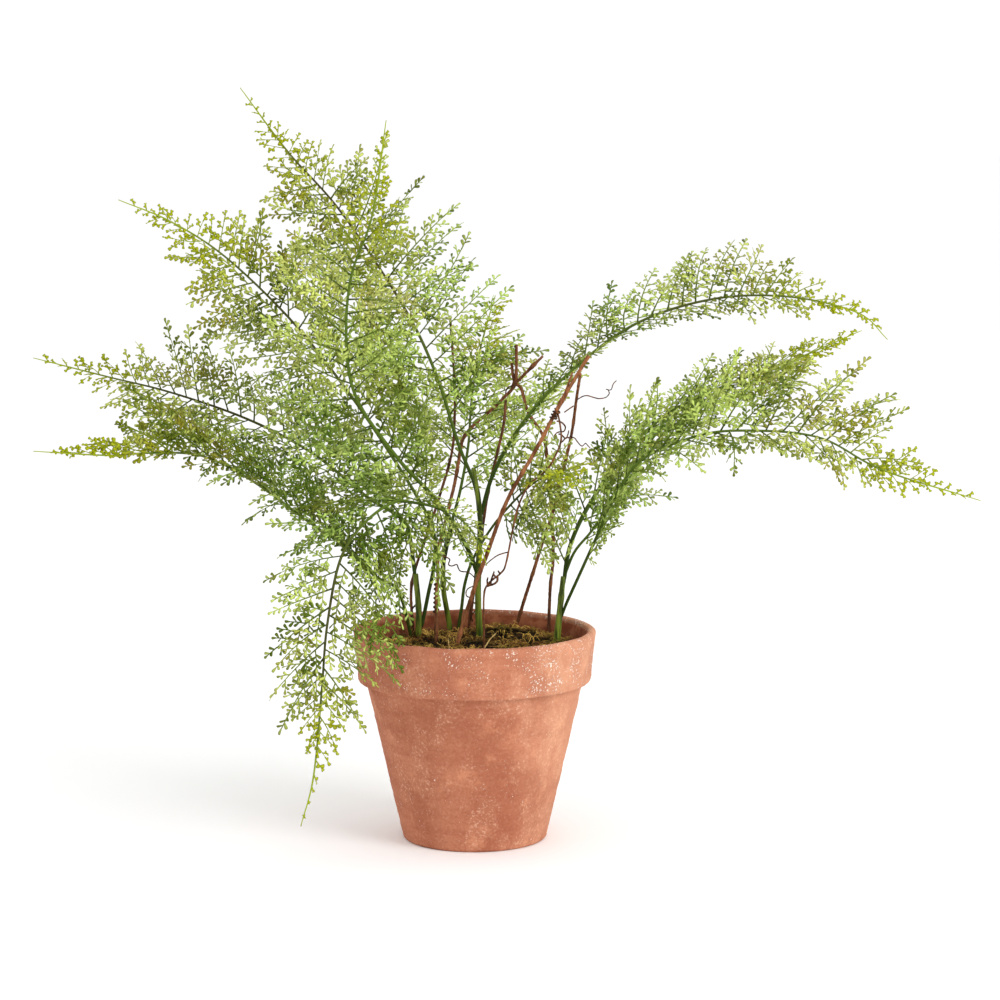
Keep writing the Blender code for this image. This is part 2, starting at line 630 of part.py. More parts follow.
def drill(thing, holes, low, high, sides):
    """Cut straight upright holes, each given as (x, y, radius), from height low to height high."""
    points = []
    faces = []
    for x, y, radius in holes:
        start = len(points)
        wide = radius / math.cos(math.pi / sides)
        for z in (low, high):
            for k in range(sides):
                turn = 2 * math.pi * (k + 0.5) / sides
                points.append((x + wide * math.cos(turn), y + wide * math.sin(turn), z))
        for k in range(sides):
            m = (k + 1) % sides
            faces.append((start + k, start + m, start + sides + m, start + sides + k))
        faces.append(tuple(start + k for k in reversed(range(sides))))
        faces.append(tuple(start + sides + k for k in range(sides)))
    cutter = build_mesh(thing.name + "_cutter", points, faces, thing.data.materials[0])
    cut = thing.modifiers.new("holes", "BOOLEAN")
    cut.operation = "DIFFERENCE"
    cut.solver = "EXACT"
    cut.object = cutter
    with bpy.context.temp_override(object=thing, active_object=thing, selected_objects=[thing]):
        bpy.ops.object.modifier_apply(modifier=cut.name)
    bpy.data.objects.remove(cutter, do_unlink=True)


def grow(name, parts, material):
    """Build the shapes that make one node and join them."""
    things = []
    for part in parts:
        if part in FRONDS:
            points, faces = frond_shell(**FRONDS[part])
        else:
            points, faces = tube_shell(**(STEMS.get(part) or TWIGS[part]))
        things.append(build_mesh(part, points, faces, material))
    return union_of(name, things)


def main():
    clear_scene()
    terracotta = make_material("terracotta", (0.50, 0.22, 0.13), 0.9)
    filling = make_material("potting_soil", (0.05, 0.035, 0.025), 1.0)
    dry_moss = make_material("dry_moss", (0.20, 0.15, 0.05), 1.0)
    leaf_green = make_material("fern_green", (0.20, 0.38, 0.10), 0.6)
    bark = make_material("twig_bark", (0.24, 0.11, 0.06), 0.8)
    make_pot(terracotta)
    soil = make_soil(filling)
    moss = make_moss(dry_moss)
    holes = stem_holes()
    drill(soil, holes, STEM_FOOT - GAP, SOIL_TOP + CUT_OVERRUN, HOLE_SIDES)
    drill(moss, holes, SOIL_TOP - CUT_OVERRUN, POT_HEIGHT, HOLE_SIDES)
    for name, parts in SPRAYS.items():
        grow(name, parts, leaf_green)
    for name, parts in TWIG_NODES.items():
        grow(name, parts, bark)


main()
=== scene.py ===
"""The finished look of a lace fern in a clay pot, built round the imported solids.

Lengths are in metres, but for the tables, which are in millimetres. +Z is up, and the side that faces
the camera looks towards -Y. The fronds, stems and twigs follow the routes of the solids that they
replace, but short_right ends a little earlier, and front_spray, most tendrils, the windings, the
straws and the forked twig's stub are here alone.
"""
import math

import bpy
import numpy as np
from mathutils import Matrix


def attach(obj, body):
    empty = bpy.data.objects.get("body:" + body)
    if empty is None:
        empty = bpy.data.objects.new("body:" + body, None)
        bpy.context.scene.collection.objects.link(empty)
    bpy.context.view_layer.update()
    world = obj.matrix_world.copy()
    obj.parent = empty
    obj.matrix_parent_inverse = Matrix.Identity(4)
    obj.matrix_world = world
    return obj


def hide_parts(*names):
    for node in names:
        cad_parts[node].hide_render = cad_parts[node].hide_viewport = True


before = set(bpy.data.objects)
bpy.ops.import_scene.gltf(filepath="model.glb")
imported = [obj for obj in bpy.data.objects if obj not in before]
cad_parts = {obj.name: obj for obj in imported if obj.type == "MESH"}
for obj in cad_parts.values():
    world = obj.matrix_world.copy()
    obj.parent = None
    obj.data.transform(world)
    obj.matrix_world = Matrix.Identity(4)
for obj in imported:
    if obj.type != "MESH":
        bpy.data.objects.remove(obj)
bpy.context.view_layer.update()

# The camera stands in front and looks slightly down.
CAMERA_PLACE = (0.0162, -1.9, 0.464)
CAMERA_PITCH = 7.37
CAMERA_LENS = 108.43
CAMERA_SENSOR = 36.0

POT_HEIGHT = 0.1354
BASE_RADIUS = 0.0461
BASE_ROUND = 0.0026
FLOOR_THICKNESS = 0.009
DRAIN_RADIUS = 0.0045
DRAIN_CIRCLE = 0.024
DRAIN_HOLES = 3
WALL = 0.005
SHOULDER = 0.1026
BODY_TOP_RADIUS = 0.0696
COLLAR_FOOT_RADIUS = 0.0746
COLLAR_ROUND = 0.0014
RIM_RADIUS = 0.0775
LIP_ROUND = 0.0018
INNER_BEND_RADIUS = 0.0656
INNER_BEND_HEIGHT = 0.0986
POT_SIDES = 176
POT_STEP = 0.0022
# The upright round rods that cut the drain holes.
HOLE_SIDES = 32
HOLE_LOW = -0.005
HOLE_HIGH = 0.014
# Turning marks, each a depth, a pitch and the drift, its start and the phase of their wave.
TURNING_MARKS = (
    (0.00007, 0.00062, 0.7, 1.0, 0.0),
    (0.00006, 0.00141, 1.1, -0.4, 2.0),
)
# The pot is a little oval, and its wall lies a little inside the solid's.
OVAL = 0.0015
OVAL_TURN = 0.6
INSET = 0.0002
# Sizes of the slow lumps in the pot's wall and along its rim, and their depth.
WALL_LUMPS = ((0.05, 0.022, 0.009), 0.00050)
RIM_LUMPS = ((0.06, 0.03), 0.0006)
RIM_WAVER_FROM = 0.110
RIM_WAVER_SPAN = 0.02

SOIL_TOP = 0.116
MOSS_TOP = 0.122
MOUND_HEIGHT = 0.004
MOUND_PLACE = (0.020, 0.046)
MOUND_SPREAD = 0.00026
BED_SIDES = 120
BED_RINGS = 40
BED_MIDDLE = 0.0015
BED_LUMPS = ((0.012, 0.007, 0.0045), 0.0022)
EDGE_DROP = 0.002
MOSS_TUFTS = 230
TUFT_HEIGHT = (0.0015, 0.0055)
TUFT_REACH = 0.0032
MOSS_STRANDS = 3400
STRAND_POINTS = 7
STRAND_SIDES = 3
STRAND_LENGTH = (0.003, 0.0085)
STRAND_RADIUS = (0.00018, 0.00042)
STRAND_CURL = (2.0, 6.0)
STRAND_FOLD = (1.8, 3.4)
STRAND_SWAY = 0.30

# Where pinnae leave the rachis, and how their length follows from their place.
TAIL = 0.015
BARE_TIP = 0.009
PINNA_GAPS = (0.0128, 0.0068)
MOST_PINNAE = 200
PINNA_RISE = 0.040
PINNA_RISE_SPAN = 0.095
PINNA_RISE_POWER = 1.6
PINNA_LEAST = 0.0030
LOWEST_SHARE = 0.72
LOWEST_RISE = 0.40
SWEEP_AT_FOOT = 20.0
SWEEP_MORE = 18.0
PINNA_BOW = 0.10
PINNA_TURN = 0.7
FACING_LIGHT = (0.0, -0.8, 0.6)
# Small random parts of a pinna: its place, angles in degrees, the share of its length, and facing.
PLACE_SPREAD = 0.0006
SWEEP_SPREAD = 9.0
RISE_SPREAD = 9.0
LENGTH_SPREAD = 0.11
FACE_SPREAD = 18.0
BOW_SPREAD = 0.9
DROOP_SPREAD = 0.8
BEND_SPREAD = 0.10
# The ribs of the pinnae, and the rachis.
RIB_RINGS = 7
RIB_STEP = 0.02
RIB_SIDES = 4
RIB_RADIUS = 0.00058
RACHIS_STEP = 0.003
RACHIS_SIDES = 8
RACHIS_FLATNESS = 0.85
TIP_RADIUS = 0.00045
# Where the rachis is brownest, and how far that reaches, as shares of its length.
BROWN_MIDDLE = 0.62
BROWN_SPREAD = 0.24
# The random tones of pinnae, pinnules and leaflets.
PINNA_TONES = 0.12
PINNULE_TONES = 0.09
LEAFLET_TONES = 0.15

# Pinnules along a pinna, and leaflets along a pinnule.
FIRST_PINNULE = 0.10
LAST_PINNULE = 0.97
END_PINNULE = 0.985
MOST_PINNULES = 9
PINNULE_GAP = 0.0069
PINNULE_LONGEST = 0.0110
LEAFLET_GAP = 0.0018
MOST_LEAFLETS = 7
LEAFLET_LENGTH = 0.0045
LEAFLET_SIDES = 4
LEAFLET_WIDTH = 0.0020
LEAFLET_HALF_THICKNESS = 0.00022
STALK_RADIUS = 0.00054
STALK_STEP = 0.05
PINNULE_ANGLE_AT_FOOT = 66.0
PINNULE_ANGLE_LESS = 24.0
LEAFLET_ANGLE = 45.0

# A direction that no stem runs along, which keeps the sides of a tube from twisting.
STEADY = (0.31, 1.0, 0.17)
TENDRIL_TONE = 0.0
TENDRIL_SIDES = 6
# Twigs thinner than this at the foot, in millimetres, are smoother and get fewer sides.
THIN_TWIG = 0.8
# Knots come along a twig at this distance, from this far up it.
KNOT_GAP = 0.028
FIRST_KNOT = 0.02
KNOT_HEIGHT = (0.12, 0.34)
KNOT_WIDTH = (0.0012, 0.0028)

FLOOR_COLOUR = (0.97, 0.97, 0.97, 1.0)
FLOOR_REACH = 30.0
SKY_STRENGTH = 1.04
KEY_PLACE = (2.0, -1.7, 1.6)
KEY_TARGET = (0.0, 0.0, 0.20)
KEY_SIZE = 1.4
KEY_POWER = 42.0

# The tables below are in millimetres and degrees. node is the plain solid that an entry stands for.
# A frond's route runs from its foot to its tip. Four things are given at even steps along it: face is
# where the upper side of the leaf looks, forward turns the pinnae further towards the tip, and right
# and left say for each row how many times their usual length the pinnae have, and how far they rise
# out of the flat. A pair under forward is for the right and the left row. bare is the length of stalk
# before the first pinna of each row, longest is the longest usual pinna, ends is the share of the way
# along where each row stops, and gaps, where given, are the distances between the pinnae of a row at
# the foot and the tip. brown says how brown the middle of the rachis is, and shade makes the leaflets
# paler above 0 and darker below it. It is partly a frond's own tone and partly painted light, which
# pales fronds whose leaves turn away from the lamp. A knot of a twig is its place, below 0 counted
# back from the top, its height as a share of the radius, and its width. LENGTHS names what is in
# millimetres in a frond's entry.
LENGTHS = ("route", "radius", "bare", "longest", "gaps")

FRONDS = {
    "tall_back_left": dict(
        node="spray_centre", seed=1, radius=1.3, bare=(62, 90), longest=46, brown=1.0, shade=0.04,
        route=((3, 42, 197), (0, 47, 221), (-11, 56, 248), (-26, 70, 293), (-47, 86, 335),
               (-89, 104, 397), (-125, 116, 437), (-157, 126, 479)),
        face=((0.2, -1, 0.3), (0, -1, 0.2)),
        forward=(4,),
        right=((1.3, 6), (1.25, 6), (0.85, 6), (0.6, 6)),
        left=((1, 6), (0.9, 6))),
    "upright": dict(
        node="spray_centre", seed=2, radius=1.6, bare=(75, 75), longest=44, brown=0.1, shade=0.05,
        route=((2, 41, 162), (-5, 36, 182), (-24, 24, 214), (-49, 8, 244), (-74, -6, 283),
               (-80, -14, 318), (-77, -18, 360), (-63, -22, 400), (-54, -28, 458)),
        face=((-0.5, -1, 0.2), (0, -1, 0.1)),
        forward=(6,),
        right=((1.1, 6), (1.1, 6), (0.6, 6)),
        left=((1.25, 10), (1.1, 10), (0.6, 10))),
    "high_right": dict(
        node="spray_centre", seed=3, radius=1.5, bare=(60, 60), longest=36, brown=0.5,
        route=((3, 42, 200), (12, 44, 230), (30, 48, 261), (57, 52, 291), (102, 58, 325),
               (153, 60, 342), (203, 58, 344), (248, 52, 334), (267, 46, 317)),
        face=((0, -0.5, 1), (-0.1, -0.15, 1), (0, -0.8, 0.7), (0, -0.8, 0.6)),
        forward=((24, 24), (26, 26), (26, 14), (26, -6), (22, 4), (20, 14)),
        right=((0.7, 10), (0.55, 12), (0.4, 15), (0.5, 10), (0.6, 8), (0.9, 6)),
        left=((0.7, 10), (0.55, 10), (1, 12), (1.25, 8), (0.7, 6), (1.3, 6))),
    "upper_left": dict(
        node="spray_left", seed=4, radius=1.3, bare=(90, 90), longest=40, brown=0.55,
        route=((-35, 42, 129), (-31, 47, 149), (-27, 52, 169), (-27, 55, 189), (-35, 55, 208),
               (-59, 50, 248), (-85, 44, 287), (-118, 36, 330), (-159, 28, 371), (-193, 20, 394),
               (-225, 12, 408)),
        face=((0, -1, 0.2), (0, -1, 0.3)),
        forward=(4,),
        right=((1.1, 6), (0.8, 6), (0.9, 6)),
        left=((1.15, 6), (0.95, 6))),
    "long_left": dict(
        node="spray_left", seed=5, radius=1.4, bare=(62, 62), longest=44, brown=0.65,
        route=((-39, 44, 160), (-43, 52, 188), (-49, 58, 199), (-72, 74, 211), (-108, 88, 238),
               (-151, 94, 260), (-202, 94, 278), (-244, 90, 289), (-292, 84, 302)),
        face=((0, -0.8, 0.6), (0, -0.85, 0.5)),
        forward=(0, 4, 14),
        right=((1.1, 8), (0.82, 8), (1, 8)),
        left=((1.3, 20), (1.1, 25), (0.8, 30))),
    "low_left": dict(
        node="frond_left_low", seed=6, radius=1.4, bare=(70, 90), longest=40, brown=0.3, shade=-0.32,
        route=((-42, 36, 106), (-42, 36, 121), (-43, 34, 130), (-50, 22, 157), (-64, 14, 167),
               (-83, 2, 188), (-106, -14, 207), (-137, -30, 233), (-168, -42, 251), (-200, -50, 254),
               (-226, -54, 253), (-271, -58, 256)),
        face=((0.3, -0.5, 1), (0, -0.5, 0.9), (0, -0.6, 0.8)),
        forward=((14, 10), (34, 20), (34, 26)),
        right=((1, 20), (1.1, 25), (1.2, 25)),
        left=((0.8, 20), (0.4, 35), (0.4, 40))),
    "hanging_front": dict(
        node="spray_front", seed=7, radius=1.3, bare=(70, 45), ends=(0.85, 1), gaps=(15.5, 7.8),
        longest=44, brown=0.6, shade=-0.06,
        route=((-21, 50, 168), (-18, 40, 184), (-15, 22, 199), (-21, 8, 211), (-39, -10, 218),
               (-51, -25, 220), (-69, -48, 209), (-82, -72, 190), (-89, -92, 153), (-92, -102, 115),
               (-97, -108, 63), (-105, -108, 32)),
        face=((0, -0.3, 1), (0, -0.6, 0.8), (0.1, -1, 0.2), (0.1, -1, 0.3)),
        forward=((0, 0), (-5, -5), (-5, -5), (14, 0), (28, 15), (30, 30)),
        right=((1.2, -30), (1.2, -30), (0.9, -10), (0.9, 0), (0.6, 0), (0.3, 0)),
        left=((1.4, -10), (1.4, -35), (1.2, -35), (1, 0), (0.8, 5), (0.5, 5))),
    "front_spray": dict(
        node="spray_front", seed=21, radius=0.6, bare=(4, 6), gaps=(5, 3.6), longest=15, brown=0,
        route=((-46, -20.5, 219.5), (-33, -19, 218.5), (-21, -18, 215), (-10.4, -18, 209.5),
               (-2.7, -19.5, 202.2), (3.6, -22, 192.5), (8, -25, 179.6)),
        face=((0, -1, 0.7), (0, -1, 0.3)),
        forward=(10, 16),
        right=((1, 0), (1.2, 0), (1.6, 0)),
        left=((0.8, 0), (1.2, 0), (1.6, 0))),
    "leaning_back": dict(
        node="spray_front", seed=8, radius=1.2, bare=(60, 60), longest=50, brown=0.4, shade=0.24,
        route=((-21, 52, 164), (-20, 58, 179), (-15, 68, 197), (-10, 80, 215), (-5, 100, 242),
               (-3, 124, 270), (1, 146, 295), (7, 166, 318), (13, 184, 337)),
        face=((0.1, -0.8, 0.5), (0, -0.7, 0.7)),
        forward=(12,),
        right=((1.1, 6), (1.25, 6), (1.6, 6), (2.6, 6)),
        left=((1, 6), (1, 6), (1.3, 6), (2, 6))),
    "inner_right": dict(
        node="frond_inner_right", seed=9, radius=1.2, bare=(112, 120), gaps=(9.5, 6.5), longest=40,
        brown=0.5,
        route=((-11, 54, 106), (-11, 54, 126), (-9, 56, 140), (-7, 57, 155), (-2, 54, 171),
               (8, 46, 190), (21, 30, 209), (36, 14, 226), (48, 6, 234), (56, -16, 237), (62, -42, 237),
               (66, -64, 231)),
        face=((0, -1, 0.6), (0, -0.8, 0.7)),
        forward=(2,),
        right=((1.5, 8), (1.25, 8)),
        left=((1, 8),)),
    "middle_right": dict(
        node="spray_right", seed=10, radius=1.6, bare=(35, 8), longest=40, brown=0.3, shade=0.05,
        route=((57, 20, 160), (62, 24, 187), (77, 38, 215), (105, 60, 249), (134, 78, 270),
               (174, 94, 286), (212, 104, 299), (258, 112, 318)),
        face=((1, -1, 0), (-0.5, -0.6, 0.7), (-0.3, -0.7, 0.7), (-0.1, -0.75, 0.7)),
        forward=((44, 0), (44, 46), (34, 38), (30, 30)),
        right=((1, 10), (0.9, 15), (1.5, 15)),
        left=((1.5, 14), (0.7, 14), (0.85, 15), (2, 15))),
    "low_right": dict(
        node="spray_right", seed=11, radius=1.3, bare=(45, 55), longest=42, brown=0.2, shade=0.02,
        route=((56, 18, 140), (59, 16, 149), (66, 10, 166), (78, -4, 196), (87, -16, 219),
               (104, -32, 247), (137, -48, 264), (167, -60, 269), (211, -72, 266), (249, -80, 247),
               (308, -86, 229)),
        face=((-0.5, -0.3, 0.8), (-0.2, -0.6, 0.8), (0, -0.75, 0.65), (0.1, -0.75, 0.65)),
        forward=((44, 44), (30, 26), (22, 0), (20, 6)),
        right=((0.6, 10), (0.6, 8), (0.6, 5), (0.7, 5)),
        left=((0.7, 15), (1, 15), (1.15, 15), (1, 15))),
    "short_right": dict(
        node="spray_right", seed=12, radius=1.1, bare=(30, 30), longest=25, brown=0.3, shade=0.1,
        route=((57, 20, 164), (64, 18, 182), (75, 16, 196), (88, 10, 216), (98, 6, 231), (107, 4, 237),
               (116, 5, 236), (122, 6, 229)),
        face=((0, -0.5, 0.8), (0.5, -0.5, 0.6)),
        forward=(36, 16),
        right=((1, 6),),
        left=((1, 6),)),
}

STEMS = {
    "centre_stem": dict(
        node="spray_centre", seed=51, radius=(2.4, 1.4),
        route=((3, 40, 106), (3, 40, 124), (2, 40, 141), (2, 41, 166), (3, 42, 187), (3, 42, 207),
               (-1, 42, 234))),
    "left_stem": dict(
        node="spray_left", seed=49, radius=(2.2, 1.8),
        route=((-37, 40, 106), (-37, 40, 124), (-37, 42, 142), (-39, 44, 164))),
    "front_stem": dict(
        node="spray_front", seed=50, radius=(1.9, 1.6),
        route=((-17, 58, 106), (-17, 58, 126), (-21, 55, 152), (-21, 51, 172))),
    "right_stem": dict(
        node="spray_right", seed=50, radius=(2.6, 1.6),
        route=((53, 17, 106), (53, 17, 124), (55, 18, 146), (57, 20, 166))),
}

TWIGS = {
    "twig_thin": {
        "thin_twig": dict(
            radius=(1, 0.8), tone=0.12,
            route=((-41, 48, 106), (-41, 48, 127), (-42, 60, 154), (-34, 68, 181), (-25, 76, 207),
                   (-16, 84, 238), (-14, 88, 260), (-14, 92, 285), (-17, 98, 329))),
    },
    "twig_forked": {
        "forked_twig": dict(
            radius=(1.2, 1), tone=0.4, knots=((-26, 0.55, 4),),
            route=((-25, 20, 106), (-25, 20, 124), (-25, 24, 149), (-24, 29, 165), (-24, 32, 180),
                   (-21, 36, 192), (-17, 44, 208), (-13, 60, 224), (-10, 74, 241), (-8, 80, 249),
                   (-2, 80, 257), (8, 77, 266), (18, 73, 276), (26, 70, 287), (27, 66, 312))),
        "forked_twig_tip": dict(
            radius=(1.1, 0.8), tone=0.3, knots=((21, 0.6, 3),),
            route=((24, 71, 284), (44, 60, 305))),
        "forked_twig_stub": dict(
            radius=(1.1, 0.9), tone=0.3,
            route=((26, 70, 286), (24.5, 70.5, 293), (23.9, 71, 299.8))),
        "forked_twig_second_foot": dict(
            radius=(1, 1.1), tone=0.3,
            route=((25, 70, 286), (30, 69, 283), (35, 66, 267), (45, 60, 251), (48, 55, 225),
                   (50, 53, 204), (51, 47, 175), (49, 43, 155), (48, 42, 125), (48, 42, 106))),
    },
    "twig_inner": {
        "inner_twig": dict(
            radius=(1.1, 0.9), tone=0.15,
            route=((-4, 60, 106), (-4, 60, 127), (-2, 58, 143), (5, 57, 194), (9, 58, 219),
                   (18, 62, 257), (20, 64, 276))),
    },
    "twig_thick": {
        "thick_twig": dict(
            radius=(1.4, 1.1), tone=0.6, knots=((-34, 0.4, 4),),
            route=((-11, 0, 106), (-11, 0, 125), (0, -1, 162), (8, -2, 184), (21, -4, 219),
                   (40, -6, 253), (55, -8, 282), (72, -10, 311))),
        "thick_twig_side_shoot": dict(
            radius=(0.8, 0.6), tone=0.7,
            route=((56, -8, 284), (59, -7, 292), (62, -4, 300))),
        "wandering_shoot": dict(
            radius=(0.6, 0.6), tone=0.35,
            route=((52, -8, 277), (54, -3, 268), (55, 0, 257), (52, 0, 248), (46, -3, 238),
                   (35, -7, 229), (28, -9, 216), (24, -10, 199), (20, -10, 179), (17, -10, 173),
                   (9, -9, 166), (6, -9, 158), (6, -8, 134), (6, -8, 124), (6, -8, 106))),
    },
    "twig_long": {
        "long_twig": dict(
            radius=(1.2, 0.9), tone=0.45,
            route=((27, 56, 106), (27, 56, 126), (39, 48, 168), (45, 44, 188), (51, 43, 206),
                   (56, 38, 228), (62, 24, 257), (65, 12, 282), (67, 0, 299))),
    },
}

# Dry tendrils of each twig: half the thickness at the foot and at the tip, and the route.
TENDRILS = {
    "twig_thin": (
        (0.5, 0.4, ((-25.5, 75.5, 206.5), (-23.5, 66, 201), (-21.5, 52, 196))),
        (0.7, 0.4, ((-14, 91.5, 277.5), (-11.5, 89, 276), (-8.5, 88, 276), (-10, 89, 277.5),
          (-9, 90, 279))),
        (0.5, 0.4, ((-16.5, 96.5, 313), (-19, 94, 315.5), (-20, 93, 317.5))),
        (0.8, 0.5, ((-41.5, 53, 139.5), (-39.5, 50, 142), (-38, 48, 144))),
    ),
    "twig_forked": (
        (0.45, 0.4, ((-23, 33, 178), (-20, 33, 177), (-16.5, 32, 175.5), (-17, 32, 173),
          (-17, 33, 171.5), (-15, 35, 170.5), (-12, 38, 171), (-11, 40, 168.5), (-9.5, 42, 166),
          (-5.5, 45, 165), (-3, 50, 163), (-1, 57, 160))),
    ),
    "twig_inner": (
        (0.55, 0.4, ((-2, 58, 143.5), (1, 55, 141), (-0.5, 56, 137), (-2.5, 57, 134), (-2, 58, 130))),
    ),
    "twig_thick": (
        (0.55, 0.4, ((52, -7.5, 269.5), (54.5, -8, 269), (56.5, -9, 267.5), (57.5, -9, 265.5),
          (56.5, -8, 263), (54, -6, 262.5), (52, -4, 261.5), (50.5, -3, 259.5))),
        (0.5, 0.4, ((53.5, 0, 260.5), (55.5, 2, 259.5), (58, 5, 257), (59.5, 8, 259.5),
          (60, 10, 261.5))),
        (0.5, 0.5, ((54.5, -1, 255), (56, 3, 255.5), (58.5, 10, 257), (61.5, 22, 255.5))),
        (0.45, 0.4, ((21, -9.5, 186), (18.5, -10, 185.5), (14.5, -10, 184), (10, -8, 180.5),
          (7, -4, 177))),
        (0.8, 0.7, ((14.5, -10, 171), (14.5, -11, 168), (12.5, -11, 166), (10, -10, 165), (8, -9, 164))),
        (0.7, 0.5, ((8.5, -9, 164.5), (8, -10, 167.5), (8.5, -11, 170))),
        (0.75, 0.55, ((10, -9, 165), (10.5, -10, 167.5), (11.5, -11, 171), (12.5, -12, 174))),
        (0.7, 0.5, ((16.5, -10, 172.5), (15.5, -11, 173.5), (15, -12, 174.5))),
        (0.7, 0.5, ((12, -11, 172), (13.5, -11, 170.5), (14.5, -10, 170.5))),
        (0.4, 0.4, ((-1, -1, 163), (-4.5, 3, 160.5), (-5.5, 3, 158), (-5, 2, 156), (-2.5, -1, 155.5))),
    ),
    "twig_long": (
        (0.42, 0.34, ((65, 12, 281), (66.5, 11, 282), (69, 10, 283.5), (72, 9, 284), (76, 7, 283),
          (79.5, 5, 282.5), (83.5, 4, 283.5), (85.5, 3, 286), (85, 2, 288), (86.5, 1, 288.5),
          (87, 1, 289.5), (88, 0, 292.5), (90, 0, 294.5))),
        (0.4, 0.3, ((85, 2, 288), (84.5, 3, 288.5), (83.5, 4, 288.5))),
        (0.42, 0.34, ((61, 24, 256), (64, 22, 255.5), (66, 21, 253), (68.5, 20, 250.5),
          (70, 19.5, 251.5), (71, 19, 252.5), (72.5, 18.5, 251), (74, 18, 249.5))),
        (0.45, 0.45, ((57, -6, 275), (59.5, 1, 276), (63, 13, 277))),
    ),
}

# Tendrils wound round a twig: foot and top of the winding, its radius, its turns, and half the
# tendril's own thickness.
WINDINGS = {
    "twig_forked": (
        ((-25.2, 23.5, 141.5), (-24.6, 27.7, 160), 1.7, 6.5, 0.55),
        ((10.5, 76.3, 268), (25, 70.3, 286), 1.3, 1.6, 0.45),
    ),
    "twig_thick": (
        ((49.4, -7.3, 270.5), (52.4, -7.7, 276.5), 2.1, 3.2, 0.6),
    ),
}

# The routes of the straws in the moss.
STRAWS = (
    ((6.5, -20, 126.5), (9.5, -12, 130), (13.5, -2, 132.5)),
    ((-16.5, -27, 124), (-16.2, -26.8, 129), (-16.6, -26.2, 134)),
)


def metres(lengths):
    """Lengths that a table gives in millimetres, made metres."""
    return np.array(lengths) / 1000


def add_object(name, data):
    """A new object in the scene for a mesh, a lamp or a camera."""
    thing = bpy.data.objects.new(name, data)
    bpy.context.scene.collection.objects.link(thing)
    return thing


def unit(vectors):
    """Each vector divided by its own length."""
    return vectors / np.linalg.norm(vectors, axis=-1, keepdims=True)


def dot(a, b):
    """The inner product of each pair of vectors, kept as a column."""
    return np.sum(a * b, axis=-1, keepdims=True)


def squared(vectors, along):
    """The part of each vector that is square to a unit vector, made one long."""
    return unit(vectors - along * dot(vectors, along))


def turned(vectors, axis, angles):
    """Vectors square to a unit axis, turned round it: v cos(a) + (axis x v) sin(a)."""
    return vectors * np.cos(angles)[..., None] + np.cross(axis, vectors) * np.sin(angles)[..., None]


class Route:
    """A smooth curve through points, read by the length along it.

    Between neighbours b and c, with a before and d after them, it is
    (2b + (c - a) t + (2a - 5b + 4c - d) t^2 + (3b - a - 3c + d) t^3) / 2 for t from 0 to 1.
    """

    def __init__(self, points, steps=16):
        points = np.asarray(points, float)
        padded = np.vstack([2 * points[0] - points[1], points, 2 * points[-1] - points[-2]])
        a, b, c, d = (padded[k:len(padded) - 3 + k, None] for k in range(4))
        t = np.linspace(0.0, 1.0, steps, endpoint=False)[None, :, None]
        curve = 2 * b + (c - a) * t + (2 * a - 5 * b + 4 * c - d) * t ** 2
        curve = 0.5 * (curve + (3 * b - a - 3 * c + d) * t ** 3)
        self.points = np.vstack([curve.reshape(-1, 3), points[-1:]])
        self.at = np.append(0.0, np.cumsum(np.linalg.norm(np.diff(self.points, axis=0), axis=1)))
        self.length = self.at[-1]

    def point(self, s):
        """The places at lengths s from the foot, each read between the nearest two points."""
        return np.stack([np.interp(s, self.at, self.points[:, k]) for k in range(3)], axis=-1)

    def direction(self, s, reach=0.002):
        """The way that the curve runs at s: from the place a reach before it to the one after."""
        return unit(self.point(s + reach) - self.point(s - reach))


def rings(centres, across, beside, half_across, half_beside, sides):
    """Rings of points round centres: c + w cos(t) across + h sin(t) beside, for t round the circle."""
    turns = 2 * math.pi * np.arange(sides) / sides
    wide = half_across[..., None, None] * np.cos(turns)[:, None] * across[..., None, :]
    high = half_beside[..., None, None] * np.sin(turns)[:, None] * beside[..., None, :]
    return centres[..., None, :] + wide + high


def tube_faces(count, sides):
    """Quads round a tube of so many rings, and the triangles that close its two ends."""
    ring = np.arange(count - 1)[:, None] * sides
    k = np.arange(sides)[None, :]
    after = (k + 1) % sides
    quads = np.stack([ring + k, ring + after, ring + sides + after, ring + sides + k], axis=-1)
    fan = np.arange(1, sides - 1)
    foot = np.stack([0 * fan, fan + 1, fan], axis=-1)
    top = (count - 1) * sides + np.stack([0 * fan, fan, fan + 1], axis=-1)
    return quads.reshape(-1, 4), np.vstack([foot, top])


